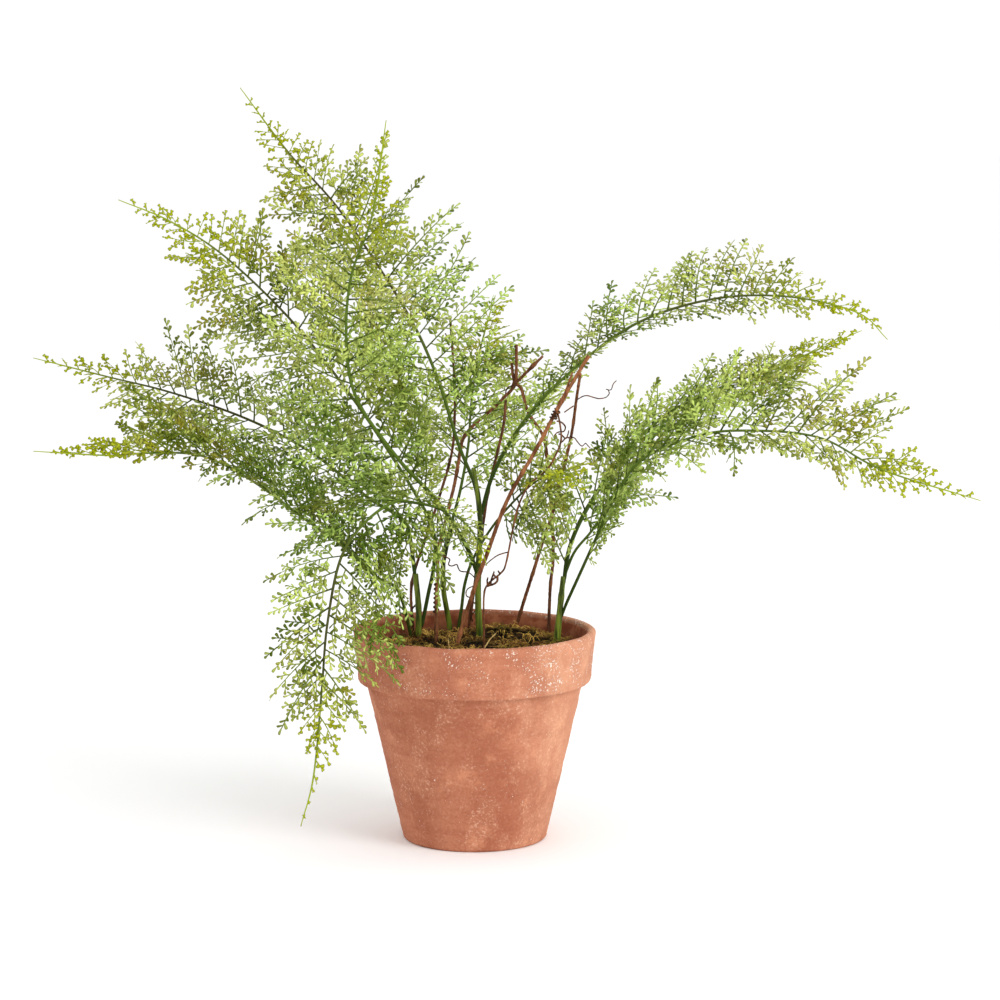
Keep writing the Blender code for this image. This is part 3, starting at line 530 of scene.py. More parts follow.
class Piece:
    """Points and faces gathered for one mesh, each point with four growth values.

    In a frond they are the share of the way along it, a random tone or how brown the rachis is, the
    share of the way out along the pinna, and what the point belongs to: 0 the rachis, 0.5 a pinna's
    rib, 0.69 a pinnule's stalk, 0.7 to 1 a leaflet from its foot to its end. In a moss strand the
    third is how high it is above the moss. Of a twig only the tone is read.
    """

    def __init__(self):
        self.points = []
        self.growth = []
        self.quads = []
        self.triangles = []
        self.count = 0

    def add(self, points, quads, triangles, along, tone, out, kind):
        """Add equal shapes, given as (shapes, points in each, 3), and the faces of one of them."""
        shapes, size = points.shape[:2]
        offset = self.count + size * np.arange(shapes)[:, None, None]
        self.points.append(points.reshape(-1, 3))
        self.quads.append((quads[None] + offset).reshape(-1, 4))
        self.triangles.append((triangles[None] + offset).reshape(-1, 3))
        values = [np.broadcast_to(value, (shapes, size)).ravel() for value in (along, tone, out, kind)]
        self.growth.append(np.stack(values, axis=-1))
        self.count += shapes * size

    def add_tubes(self, centres, across, beside, half_across, half_beside, sides, along, tone, out, kind):
        """Add tubes whose rings lie round centres (tubes, rings, 3); the values are one for each ring."""
        shapes, count = centres.shape[:2]
        points = rings(centres, across, beside, half_across, half_beside, sides)
        quads, triangles = tube_faces(count, sides)
        values = [np.repeat(np.broadcast_to(value, (shapes, count)), sides, axis=1)
                  for value in (along, tone, out)]
        self.add(points.reshape(shapes, -1, 3), quads, triangles, *values, kind)

    def build(self, name, material, slot, *nodes):
        """Make the object, shade it smooth, and let it stand for the named nodes."""
        points = np.concatenate(self.points)
        quads = np.concatenate(self.quads)
        triangles = np.concatenate(self.triangles)
        mesh = bpy.data.meshes.new(name)
        mesh.vertices.add(len(points))
        mesh.vertices.foreach_set("co", points.astype(np.float32).ravel())
        corners = np.concatenate([quads.ravel(), triangles.ravel()]).astype(np.int32)
        starts = np.append(4 * np.arange(len(quads)), 4 * len(quads) + 3 * np.arange(len(triangles)))
        mesh.loops.add(len(corners))
        mesh.loops.foreach_set("vertex_index", corners)
        mesh.polygons.add(len(starts))
        mesh.polygons.foreach_set("loop_start", starts.astype(np.int32))
        mesh.polygons.foreach_set("use_smooth", np.ones(len(starts), bool))
        mesh.update(calc_edges=True)
        growth = mesh.attributes.new("growth", "FLOAT_COLOR", "POINT")
        growth.data.foreach_set("color", np.concatenate(self.growth).astype(np.float32).ravel())
        mesh.validate()
        mesh.materials.append(material)
        thing = add_object(name, mesh)
        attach(thing, "root")
        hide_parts(*nodes)


def spread(counts):
    """Number the children of each parent: their parent's number, and their own number under it."""
    parent = np.repeat(np.arange(len(counts)), counts)
    first = np.repeat(np.cumsum(counts) - counts, counts)
    return parent, np.arange(len(parent)) - first


def add_stem(piece, points, radius, sides, step, rng, roughness=0.0, knots=(), tone=0.5,
             along=(0.0, 0.0)):
    """Add one tapering tube along a route.

    Its radius runs evenly from the foot to the top, times 1 plus a random roughness at each point
    and a bell 1 + h exp(-((s - m) / w)^2) at each knot (m, h, w). A knot's place m below zero counts
    back from the top.
    """
    route = Route(points)
    count = max(5, int(route.length / step) + 1)
    s = np.linspace(0.0, route.length, count)
    ahead = route.direction(s, min(0.002, 0.3 * route.length))
    across = squared(np.array(STEADY), ahead)
    beside = np.cross(ahead, across)
    size = radius[0] + (radius[1] - radius[0]) * s / route.length
    for middle, height, width in knots:
        size = size * (1 + height * np.exp(-((s - middle % route.length) / width) ** 2))
    points = rings(route.point(s), across, beside, size, size, sides)
    swell = 1 + roughness * rng.normal(size=(count, sides))
    points = route.point(s)[:, None] + (points - route.point(s)[:, None]) * swell[..., None]
    quads, triangles = tube_faces(count, sides)
    share = np.repeat(along[0] + (along[1] - along[0]) * s / route.length, sides)
    piece.add(points.reshape(1, -1, 3), quads, triangles, share, tone, 0.0, 0.0)


def pinna_stations(route, bare, ends, gaps, side):
    """Lengths along the rachis where one row's pinnae start.

    The gap g falls evenly with the length s, so s = first + g0 / a (exp(a k) - 1) for k = 0, 1, 2 ...
    The left row's k is half a step on, which makes the two rows alternate.
    """
    first = min(bare)
    end = route.length - BARE_TIP
    change = (gaps[1] - gaps[0]) / (end - first)
    k = np.arange(MOST_PINNAE) + 0.5 * side
    s = first + gaps[0] / change * (np.exp(change * k) - 1)
    return s[(s >= bare[side]) & (s < np.minimum(end, ends[side] * route.length))]


def at_steps(values, share):
    """Values given at even steps, read at shares of the way along: a column for each of their numbers."""
    values = np.asarray(values, float).reshape(len(values), -1)
    steps = np.linspace(0.0, 1.0, len(values))
    return np.stack([np.interp(share, steps, column) for column in values.T], axis=-1)


def grow_frond(piece, route, radius, bare, longest, face, forward, right, left, seed, brown,
               ends=(1, 1), gaps=PINNA_GAPS, shade=0.0):
    """Grow one frond: its rachis, pinnae in two rows, pinnules along each, and leaflets on those.

    A pinna at s has the length min(longest, least + rise ((L - tail - s) / span)^power), times its
    row's size and less near the foot. It runs along out cos(sweep) + ahead sin(sweep), where out is
    beside cos(raised) + up sin(raised) and beside is turned round for the left row. Length and
    angles have a small random part.
    """
    rng = np.random.default_rng(seed)
    route = Route(route)

    def frames(s):
        """Where the rachis runs at s, and the upper and the right side of the leaf there."""
        ahead = route.direction(s)
        up = squared(at_steps(face, s / route.length), ahead)
        return ahead, up, np.cross(ahead, up)

    grow_rachis(piece, route, radius, frames, brown)
    rows = [pinna_stations(route, bare, ends, gaps, side) for side in (0, 1)]
    s = np.concatenate(rows)
    way = np.repeat([1.0, -1.0], [len(row) for row in rows])[:, None]
    count = len(s)
    s = s + rng.normal(0.0, PLACE_SPREAD, count)
    share = s / route.length
    ahead, up, beside = frames(s)
    size, rise = np.where(way > 0, at_steps(right, share), at_steps(left, share)).T
    away = np.maximum(route.length - TAIL - s, 0.0) / PINNA_RISE_SPAN
    length = np.minimum(longest, PINNA_LEAST + PINNA_RISE * away ** PINNA_RISE_POWER)
    length *= np.minimum(1.0, LOWEST_SHARE + LOWEST_RISE * (s - min(bare)) / longest)
    lean = at_steps(forward, share)
    lean = np.where(way[:, 0] > 0, lean[:, 0], lean[:, -1])
    sweep = SWEEP_AT_FOOT + SWEEP_MORE * (1.0 - length / longest) + lean
    sweep = np.radians(sweep + rng.normal(0.0, SWEEP_SPREAD, count))
    length *= size * (1 + rng.normal(0.0, LENGTH_SPREAD, count))
    raised = np.radians(rise + rng.normal(0.0, RISE_SPREAD, count))[:, None]
    out = way * beside * np.cos(raised) + up * np.sin(raised)
    outward = unit(out * np.cos(sweep)[:, None] + ahead * np.sin(sweep)[:, None])
    blade_up = squared(way * np.cross(out, ahead) + PINNA_TURN * np.array(FACING_LIGHT), outward)
    blade_up = turned(blade_up, outward, np.radians(rng.normal(0.0, FACE_SPREAD, count)))
    # shade is partly a frond's own tone and partly painted light, paling fronds whose leaves face away
    # from the lamp.
    tone = rng.normal(shade, PINNA_TONES, count)
    grow_pinnae(piece, rng, route.point(s), outward, blade_up, ahead, length, share, tone)


def grow_rachis(piece, route, radius, frames, brown):
    """Add the rachis: an oval tube with a radius that falls evenly, and a thin bare tail.

    Its tone says how brown it is: brown times a bell round the middle of the frond.
    """
    count = int(route.length / RACHIS_STEP)
    s = np.linspace(0.0, route.length, count)
    ahead, up, _ = frames(s)
    share = s / route.length
    size = radius * (1 - share) + TIP_RADIUS * share
    size = size * (0.62 + 0.38 * np.clip((route.length - s) / (1.6 * TAIL), 0, 1))
    size = size * (0.75 + 0.25 * np.clip(s / 0.01, 0, 1))
    tone = brown * np.exp(-((share - BROWN_MIDDLE) / BROWN_SPREAD) ** 2)
    piece.add_tubes(route.point(s)[None], up[None], np.cross(ahead, up)[None],
                    (RACHIS_FLATNESS * size)[None], size[None], RACHIS_SIDES, share, tone, 0.0, 0.0)


def aim(path, k, v, step, up):
    """The way that path k runs at v, from a step before it to a step after, and its upper side."""
    along = unit(path(k, v + step) - path(k, v - step))
    return along, squared(up[k], along)


def add_ribs(piece, path, up, v, step, size, sides, share, tone, out, kind):
    """Add one tube along each path, with a ring at each v; size gives the radius from k and v.

    The growth value out is v itself where None is given.
    """
    shape = (len(up), len(v))
    k = np.repeat(np.arange(len(up)), len(v))
    v = np.tile(v, len(up))
    along, across = aim(path, k, v, step, up)
    centres, across, beside = (vectors.reshape(*shape, 3)
                               for vectors in (path(k, v), across, np.cross(along, across)))
    radius = size(k, v).reshape(shape)
    out = v.reshape(shape) if out is None else out[:, None]
    piece.add_tubes(centres, across, beside, radius, radius, sides,
                    share[:, None], tone[:, None], out, kind)


def grow_pinnae(piece, rng, start, outward, up, ahead, length, share, tone):
    """Add pinnae: start + L (u v + f b v^2 - n d v^2 + r e v^2) for v from 0 to 1 along each rib.

    u is outward, f forward, n the upper side and r across the blade; b is the bow, d the droop and
    e a small random bend. Pinnules leave the rib in two rows, half a step apart, and one sits at its
    end. At v a pinnule is min(0.28 L + 2.2 mm, PINNULE_LONGEST) (1.05 - 0.62 v) long.
    """
    count = len(length)
    right = np.cross(outward, up)
    bow = PINNA_BOW * (1 + rng.normal(0.0, BOW_SPREAD, count))
    droop = PINNA_BOW * (1 + rng.normal(0.0, DROOP_SPREAD, count))
    bend = rng.normal(0.0, BEND_SPREAD, count)

    def rib(k, v):
        """The places at the shares v along the ribs k."""
        v = v[..., None]
        bent = ahead[k] * bow[k, None] - up[k] * droop[k, None] + right[k] * bend[k, None]
        return start[k] + length[k, None] * (outward[k] * v + bent * v ** 2)

    def radius(k, v):
        """The ribs' radius, half as much at the end, and less for short pinnae."""
        return (RIB_RADIUS * (1 - 0.5 * v)) * np.sqrt(np.clip(length[k] / 0.03, 0.35, 1.0))

    add_ribs(piece, rib, up, np.linspace(0.0, 1.0, RIB_RINGS), RIB_STEP, radius, RIB_SIDES,
             share, tone, None, 0.5)

    each = np.clip(np.round((1 - FIRST_PINNULE) * length / PINNULE_GAP - 0.2), 0, MOST_PINNULES)
    each = each.astype(int)
    parents, ways, places = [], [], []
    for side, shift in ((1.0, 0.1), (-1.0, 0.6)):
        k, j = spread(each)
        parents.append(k)
        ways.append(np.full(len(k), side))
        places.append(FIRST_PINNULE + (LAST_PINNULE - FIRST_PINNULE) * (j + shift) / each[k])
    parents.append(np.arange(count))
    ways.append(np.zeros(count))
    places.append(np.where(each == 0, 0.25, END_PINNULE))
    k = np.concatenate(parents)
    way = np.concatenate(ways)
    v = np.concatenate(places)
    v = v + (way != 0) * rng.normal(0.0, 0.012, len(v))
    along, blade = aim(rib, k, v, RIB_STEP, up)
    size = np.minimum(0.28 * length[k] + 0.0022, PINNULE_LONGEST) * (1.05 - 0.62 * v)
    at_end = np.where(each[k] == 0, 0.8 * length[k], 0.16 * length[k] + 0.0024)
    size = np.where(way == 0, at_end, size) * (1 + rng.normal(0.0, 0.09, len(k)))
    angle = PINNULE_ANGLE_AT_FOOT - PINNULE_ANGLE_LESS * v + rng.normal(0.0, 7.0, len(k))
    angle = np.radians(angle) * way
    heading = turned(along, blade, -angle)
    blade = turned(blade, heading, np.radians(rng.normal(0.0, 16.0, len(k))))
    grow_pinnules(piece, rng, rib(k, v), heading, blade, along, size, share[k],
                  tone[k] + rng.normal(0.0, PINNULE_TONES, len(k)), v)


def grow_pinnules(piece, rng, start, heading, up, forward, length, share, tone, out):
    """Add pinnules: start + p (h w + 0.16 f w^2 - 0.10 n w^2) for w from 0 to 1 along each stalk.

    h is the heading, f the way that the pinna runs and n the upper side. Leaflets leave it in turn
    to the right and the left, and one sits at its end. At w a leaflet is
    min(LEAFLET_LENGTH, 0.42 p + 0.8 mm) (1 - 0.15 w) long.
    """
    def stalk(k, w):
        """The places at the shares w along the stalks k."""
        w = w[..., None]
        path = heading[k] * w + (0.16 * forward[k] - 0.10 * up[k]) * w ** 2
        return start[k] + length[k, None] * path

    def radius(_, w):
        """The stalks' radius, a little less towards the end."""
        return STALK_RADIUS * (1 - 0.35 * w)

    add_ribs(piece, stalk, up, [0.0, 0.5, 1.0], STALK_STEP, radius, 3, share, tone, out, 0.69)

    each = np.clip(np.round(0.74 * length / LEAFLET_GAP), 1, MOST_LEAFLETS).astype(int)
    k, j = spread(each + 1)
    last = j == each[k]
    w = np.where(last, 0.94, 0.22 + 0.68 * (j + 0.3) / each[k]) + rng.normal(0.0, 0.02, len(k))
    way = np.where(last, 0.0, np.where((j + k) % 2 == 0, 1.0, -1.0))
    along, blade = aim(stalk, k, w, STALK_STEP, up)
    angle = np.radians(LEAFLET_ANGLE + rng.normal(0.0, 8.0, len(k))) * way
    pointing = turned(along, blade, -angle)
    blade = turned(blade, pointing, np.radians(rng.normal(0.0, 20.0, len(k))))
    size = np.minimum(LEAFLET_LENGTH, 0.42 * length[k] + 0.0008) * (1 - 0.15 * w)
    size = size * (1 + rng.normal(0.0, 0.10, len(k)))
    grow_leaflets(piece, stalk(k, w), pointing, blade, size, share[k],
                  tone[k] + rng.normal(0.0, LEAFLET_TONES, len(k)), out[k])


def grow_leaflets(piece, start, heading, up, length, share, tone, out):
    """Add club-shaped leaflets: flat four-sided tubes, narrow at the foot and broad and blunt at the end.

    The middle lies at start + l (h t - 0.08 n t^2), and the half width follows LEAFLET_WIDTH times
    0.20, 0.40, 0.56 and 0.38 at t = 0, 0.38, 0.76 and 1.
    """
    t = np.array([0.0, 0.38, 0.76, 1.0])
    widths = np.array([0.20, 0.40, 0.56, 0.38]) * LEAFLET_WIDTH
    thickness = np.array([0.7, 1.0, 1.0, 0.6]) * LEAFLET_HALF_THICKNESS
    count = len(length)
    towards_tip = np.clip(share - 0.7, 0, 0.3) / 0.3
    scale = (np.sqrt(length / LEAFLET_LENGTH) * (1 + 0.9 * towards_tip))[:, None]
    path = heading[:, None] * t[:, None] - 0.08 * up[:, None] * t[:, None] ** 2
    centres = start[:, None] + length[:, None, None] * path
    across = np.repeat(up[:, None], 4, axis=1)
    beside = np.repeat(np.cross(heading, up)[:, None], 4, axis=1)
    points = rings(centres, across, beside, thickness * scale, widths * scale, LEAFLET_SIDES)
    quads, triangles = tube_faces(4, LEAFLET_SIDES)
    kind = np.repeat(0.7 + 0.3 * t, LEAFLET_SIDES)
    piece.add(points.reshape(count, -1, 3), quads, triangles,
              share[:, None], tone[:, None], out[:, None], kind[None])


def smooth_noise(points, rng, sizes, amount):
    """A smooth random height over points: the sum of waves sin(k . p + phase), four for each size."""
    total = np.zeros(points.shape[:-1])
    for size in sizes:
        for _ in range(4):
            wave = unit(rng.normal(size=3)) * 2 * math.pi / size
            total += np.sin(points @ wave + rng.uniform(0, 2 * math.pi)) / (4 * len(sizes))
    return amount * total


def body_radius(height):
    """Outer radius of the pot's tapered body."""
    return BASE_RADIUS + (BODY_TOP_RADIUS - BASE_RADIUS) * height / SHOULDER


def inner_radius(height):
    """Radius of the pot's inside wall, which bends a little below the collar's foot."""
    heights = (FLOOR_THICKNESS, INNER_BEND_HEIGHT, POT_HEIGHT - LIP_ROUND)
    radii = (body_radius(FLOOR_THICKNESS) - WALL, INNER_BEND_RADIUS, RIM_RADIUS - WALL)
    return np.interp(height, heights, radii)


def arc(middle, half_width, half_height, low, high, count):
    """Points (radius, height) on an ellipse round middle, from one angle in degrees to another."""
    turns = np.radians(np.linspace(low, high, count))
    radius = middle[0] + half_width * np.cos(turns)
    height = middle[1] + half_height * np.sin(turns)
    return np.stack([radius, height], axis=-1)


def straight(start, end, step):
    """Points on the line between two places, both left out, no further apart than a step."""
    start, end = np.array(start), np.array(end)
    count = int(np.linalg.norm(end - start) / step) + 1
    return start + (end - start) * np.arange(1, count)[:, None] / count


def pot_profile():
    """Radius and height up the pot's outside and down its inside, and which points are inside."""
    foot = arc((body_radius(BASE_ROUND) - BASE_ROUND, BASE_ROUND), BASE_ROUND, BASE_ROUND, -90, 0, 7)
    collar = arc((COLLAR_FOOT_RADIUS - COLLAR_ROUND, SHOULDER + COLLAR_ROUND),
                 COLLAR_ROUND, COLLAR_ROUND, -90, 0, 6)
    lip = arc((RIM_RADIUS - WALL / 2, POT_HEIGHT - LIP_ROUND), WALL / 2, LIP_ROUND, 0, 180, 13)
    shoulder = (BODY_TOP_RADIUS, SHOULDER)
    bend = (INNER_BEND_RADIUS, INNER_BEND_HEIGHT)
    floor = (float(inner_radius(FLOOR_THICKNESS)), FLOOR_THICKNESS)
    outside = [[(foot[0, 0] - 0.004, 0.0)], foot, straight(foot[-1], shoulder, POT_STEP), [shoulder],
               [(BODY_TOP_RADIUS + 0.0012, SHOULDER)], collar,
               straight(collar[-1], lip[0], POT_STEP), lip]
    inside = [straight(lip[-1], bend, POT_STEP), [bend], straight(bend, floor, 2 * POT_STEP), [floor],
              [(floor[0] - 0.003, FLOOR_THICKNESS)]]
    outside = np.vstack(outside)
    inside = np.vstack(inside)
    return np.vstack([outside, inside]), np.repeat([0.0, 1.0], [len(outside), len(inside)])


def make_pot(finish):
    """The pot: its profile turned round Z, with a hand-made wobble and faint turning marks.

    A point's radius is r (1 + OVAL sin(2a + OVAL_TURN)) plus turning marks, waves in its height
    whose phase drifts with the angle a, and plus slow smooth noise; the rim's height also wavers.
    """
    rng = np.random.default_rng(7)
    profile, inside = pot_profile()
    turns = 2 * math.pi * np.arange(POT_SIDES) / POT_SIDES
    radius, height = profile[:, 0][:, None], profile[:, 1][:, None]
    place = np.stack([radius * np.cos(turns), radius * np.sin(turns), height + 0 * turns], axis=-1)
    marks = 0.0
    for depth, pitch, drift, start, phase in TURNING_MARKS:
        marks = marks + depth * np.sin(height / pitch + drift * np.sin(turns + start) + phase)
    marks = marks + smooth_noise(place, rng, *WALL_LUMPS)
    marks = marks * np.clip(height / 0.004, 0, 1)
    oval = OVAL * np.sin(2 * turns + OVAL_TURN) * np.clip(height / 0.02, 0, 1)
    radius = radius * (1 + oval) + marks - INSET
    rise = np.clip((height - RIM_WAVER_FROM) / RIM_WAVER_SPAN, 0, 1)
    height = height + rise * smooth_noise(place, rng, *RIM_LUMPS)
    points = np.stack([radius * np.cos(turns), radius * np.sin(turns), height + 0 * turns], axis=-1)
    quads, _ = tube_faces(len(profile), POT_SIDES)
    mesh = bpy.data.meshes.new("clay_pot")
    faces = [tuple(face) for face in quads.tolist()]
    faces.append(tuple(reversed(range(POT_SIDES))))
    faces.append(tuple(range((len(profile) - 1) * POT_SIDES, len(profile) * POT_SIDES)))
    mesh.from_pydata(points.reshape(-1, 3).tolist(), [], faces)
    mesh.update()
    mask = mesh.attributes.new("inside", "FLOAT", "POINT")
    mask.data.foreach_set("value", np.repeat(inside, POT_SIDES))
    mesh.polygons.foreach_set("use_smooth", np.ones(len(faces), bool))
    mesh.materials.append(finish)
    pot = add_object("clay_pot", mesh)
    bore_drain_holes(pot)
    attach(pot, "root")
    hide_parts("pot")


def bore_drain_holes(pot):
    """Cut upright round holes through the pot's floor, on one circle."""
    rows = []
    for k in range(DRAIN_HOLES):
        turn = 2 * math.pi * k / DRAIN_HOLES
        x, y = DRAIN_CIRCLE * math.cos(turn), DRAIN_CIRCLE * math.sin(turn)
        rows.append([(x, y, HOLE_LOW), (x, y, HOLE_HIGH)])
    centres = np.array(rows)
    across = np.broadcast_to((1.0, 0.0, 0.0), centres.shape)
    beside = np.broadcast_to((0.0, 1.0, 0.0), centres.shape)
    size = np.full(centres.shape[:2], DRAIN_RADIUS)
    points = rings(centres, across, beside, size, size, HOLE_SIDES)
    quads, _ = tube_faces(2, HOLE_SIDES)
    shapes = [tuple(face) for face in quads.tolist()]
    shapes += [tuple(reversed(range(HOLE_SIDES))), tuple(range(HOLE_SIDES, 2 * HOLE_SIDES))]
    faces = [tuple(2 * HOLE_SIDES * k + corner for corner in face)
             for k in range(DRAIN_HOLES) for face in shapes]
    mesh = bpy.data.meshes.new("drain_cutter")
    mesh.from_pydata(points.reshape(-1, 3).tolist(), [], faces)
    cutter = add_object("drain_cutter", mesh)
    cut = pot.modifiers.new("drain", "BOOLEAN")
    cut.operation = "DIFFERENCE"
    cut.solver = "EXACT"
    cut.object = cutter
    with bpy.context.temp_override(object=pot, active_object=pot, selected_objects=[pot]):
        bpy.ops.object.modifier_apply(modifier=cut.name)
    bpy.data.objects.remove(cutter, do_unlink=True)
    bpy.data.meshes.remove(mesh)


def moss_height(x, y):
    """Height of the moss: low waves over the filling and one mound at the back."""
    waves = 0.0013 * np.sin(x / 0.009 + 0.6) * np.cos(y / 0.011) + 0.0008 * np.sin((x + 2 * y) / 0.013)
    away = (x - MOUND_PLACE[0]) ** 2 + (y - MOUND_PLACE[1]) ** 2
    return MOSS_TOP + waves + MOUND_HEIGHT * np.exp(-away / MOUND_SPREAD)


def make_moss_bed(finish):
    """The bed under the moss, dark with painted shade: rings out from the middle, over the waves and down
    to a flat base.

    Its height is moss_height plus fine lumps, less EDGE_DROP where it meets the pot.
    """
    rng = np.random.default_rng(21)
    edge = float(inner_radius(SOIL_TOP)) - 0.0006
    radii = np.linspace(BED_MIDDLE, edge, BED_RINGS)
    turns = 2 * math.pi * np.arange(BED_SIDES) / BED_SIDES
    x = radii[:, None] * np.cos(turns)
    y = radii[:, None] * np.sin(turns)
    lumps = smooth_noise(np.stack([x, y, 0 * x], axis=-1), rng, *BED_LUMPS)
    z = moss_height(x, y) + lumps - EDGE_DROP * (radii[:, None] / edge) ** 12
    top = np.stack([x, y, z], axis=-1)[::-1]
    wall = np.stack([x[-1], y[-1], np.full(BED_SIDES, SOIL_TOP + 0.0003)], axis=-1)[None]
    piece = Piece()
    quads, triangles = tube_faces(BED_RINGS + 1, BED_SIDES)
    piece.add(np.vstack([wall, top]).reshape(1, -1, 3), quads, triangles, 0.0, 0.0, 0.0, 0.0)
    piece.build("moss_bed_painted_shade", finish, "dry_moss", "moss")


def make_moss_strands(finish):
    """Curled strands in tufts: each starts in its tuft, leans away from its middle and curls over.

    A strand is root + L (h t + side STRAND_SWAY (sin(c t + p) - sin(p))), raised by H sin(f t), for
    t from 0 to 1, where c is its curl, f its fold and p its phase.
    """
    rng = np.random.default_rng(22)
    reach = float(inner_radius(MOSS_TOP)) - 0.0035
    tuft_radius = reach * np.sqrt(rng.uniform(0, 1, MOSS_TUFTS))
    tuft_turn = rng.uniform(0, 2 * math.pi, MOSS_TUFTS)
    tuft_x = tuft_radius * np.cos(tuft_turn)
    tuft_y = tuft_radius * np.sin(tuft_turn)
    tuft_tone = rng.uniform(0, 1, MOSS_TUFTS)
    tuft_height = rng.uniform(*TUFT_HEIGHT, MOSS_TUFTS)
    k = rng.integers(0, MOSS_TUFTS, MOSS_STRANDS)
    turn = rng.uniform(0, 2 * math.pi, MOSS_STRANDS)
    away = TUFT_REACH * np.sqrt(rng.uniform(0, 1, MOSS_STRANDS))
    x = tuft_x[k] + away * np.cos(turn)
    y = tuft_y[k] + away * np.sin(turn)
    pull = np.minimum(1.0, reach / np.hypot(x, y))
    x, y = x * pull, y * pull
    root = np.stack([x, y, moss_height(x, y) - 0.0008], axis=-1)[:, None]
    heading = turn + rng.normal(0, 0.8, MOSS_STRANDS)
    lean = np.stack([np.cos(heading), np.sin(heading), 0 * heading], axis=-1)[:, None]
    side = np.stack([-np.sin(heading), np.cos(heading), 0 * heading], axis=-1)[:, None]
    t = np.linspace(0, 1, STRAND_POINTS)[None, :, None]

    def drawn(low, high):
        """A random number for each strand."""
        return rng.uniform(low, high, MOSS_STRANDS)[:, None, None]

    length = drawn(*STRAND_LENGTH)
    height = tuft_height[k][:, None, None] * drawn(0.5, 1.3)
    curl = drawn(*STRAND_CURL)
    phase = drawn(0, 6.28)
    fold = drawn(*STRAND_FOLD)
    sway = STRAND_SWAY * (np.sin(curl * t + phase) - np.sin(phase))
    up = np.array([0.0, 0.0, 1.0])
    centres = root + length * (lean * t + side * sway) + height * np.sin(fold * t) * up
    out = np.hypot(centres[..., 0], centres[..., 1])
    limit = inner_radius(np.maximum(centres[..., 2], 0.110)) - 0.0012
    centres[..., :2] *= np.minimum(1.0, limit / out)[..., None]
    ahead = unit(np.gradient(centres, axis=1) + 1e-9)
    across = squared(side + 0.01 * up, ahead)
    size = rng.uniform(*STRAND_RADIUS, MOSS_STRANDS)[:, None] * (1 - 0.55 * t[..., 0])
    piece = Piece()
    tone = tuft_tone[k] * 0.7 + 0.3 * rng.uniform(0, 1, MOSS_STRANDS)
    lift = np.clip((centres[..., 2] - moss_height(centres[..., 0], centres[..., 1])) / 0.005, 0, 1)
    piece.add_tubes(centres, across, np.cross(ahead, across), size, size, STRAND_SIDES,
                    t[..., 0], tone[:, None], lift, 0.5)
    piece.build("moss_strands", finish, "dry_moss", "moss")


def make_straws(finish):
    """A few pale dry straws that lie in the moss."""
    rng = np.random.default_rng(23)
    piece = Piece()
    for points in STRAWS:
        add_stem(piece, metres(points), (0.00045, 0.00032), 6, 0.0012, rng, roughness=0.06)
    piece.build("straws", finish, "dry_moss", "moss")


def make_stems(finish):
    """The green stems, each thick at the moss with a few faint rings where it was jointed."""
    for name, shape in STEMS.items():
        rng = np.random.default_rng(shape["seed"])
        route, radius = metres(shape["route"]), metres(shape["radius"])
        length = Route(route).length
        knots = [(length * share, 0.10, 0.0022) for share in rng.uniform(0.25, 0.9, 2)]
        piece = Piece()
        add_stem(piece, route, radius, 14, 0.0016, rng, 0.012, knots, tone=0.0)
        piece.build("green_" + name, finish, "fern_green", shape["node"])


def make_fronds(finish):
    """Every leafy frond as a piece of its own."""
    for name, shape in FRONDS.items():
        values = {key: metres(value) if key in LENGTHS else value for key, value in shape.items()}
        node = values.pop("node")
        piece = Piece()
        grow_frond(piece, **values)
        piece.build("leafy_" + name, finish, "fern_green", node)


def add_winding(piece, foot, top, radius, turns, half_thickness, tone):
    """Add a tendril wound round a twig: foot + (top - foot) t + R (cos(a) u + sin(a) w).

    The angle a is 2 pi turns t, and u and w are square to the way from foot to top.
    """
    axis = unit(top - foot)
    u = squared(np.array(STEADY), axis)
    w = np.cross(axis, u)
    count = int(16 * turns)
    t = np.linspace(0, 1, count)[:, None]
    angle = 2 * math.pi * turns * t
    offset = np.cos(angle) * u + np.sin(angle) * w
    centres = foot + (top - foot) * t + radius * offset
    ahead = unit(np.gradient(centres, axis=0))
    across = squared(offset, ahead)
    size = np.full(count, half_thickness)
    piece.add_tubes(centres[None], across[None], np.cross(ahead, across)[None],
                    size[None], size[None], 5, 0.5, tone, 0.0, 0.0)


def make_twigs(finish):
    """Every brown twig with its side shoots, knots and dry tendrils."""
    for index, (node, shapes) in enumerate(TWIGS.items()):
        rng = np.random.default_rng(60 + index)
        piece = Piece()
        for shape in shapes.values():
            route = metres(shape["route"])
            length = Route(route).length
            middles = np.arange(FIRST_KNOT, length - 0.005, KNOT_GAP) + rng.uniform(0, 0.012)
            knots = [(middle, rng.uniform(*KNOT_HEIGHT), rng.uniform(*KNOT_WIDTH)) for middle in middles]
            knots += [(metres(middle), height, metres(width))
                      for middle, height, width in shape.get("knots", ())]
            thin = shape["radius"][0] < THIN_TWIG
            add_stem(piece, route, metres(shape["radius"]), 8 if thin else 12, 0.0011, rng,
                     0.03 if thin else 0.055, knots, shape["tone"], (0.0, 1.0))
        for foot, tip, points in TENDRILS[node]:
            add_stem(piece, metres(points), metres((foot, tip)), TENDRIL_SIDES, 0.0008, rng, 0.06,
                     tone=TENDRIL_TONE)
        for foot, top, radius, turns, half_thickness in WINDINGS.get(node, ()):
            add_winding(piece, metres(foot), metres(top), metres(radius), turns,
                        metres(half_thickness), TENDRIL_TONE)
        piece.build(node.replace("twig_", "bark_"), finish, "twig_bark", node)


def paint(red, green, blue):
    """A colour as a painter reads it off a screen, 0 to 255, made linear for the shader."""
    values = np.array([red, green, blue]) / 255.0
    linear = np.where(values <= 0.04045, values / 12.92, ((values + 0.055) / 1.055) ** 2.4)
    return (*linear.tolist(), 1.0)


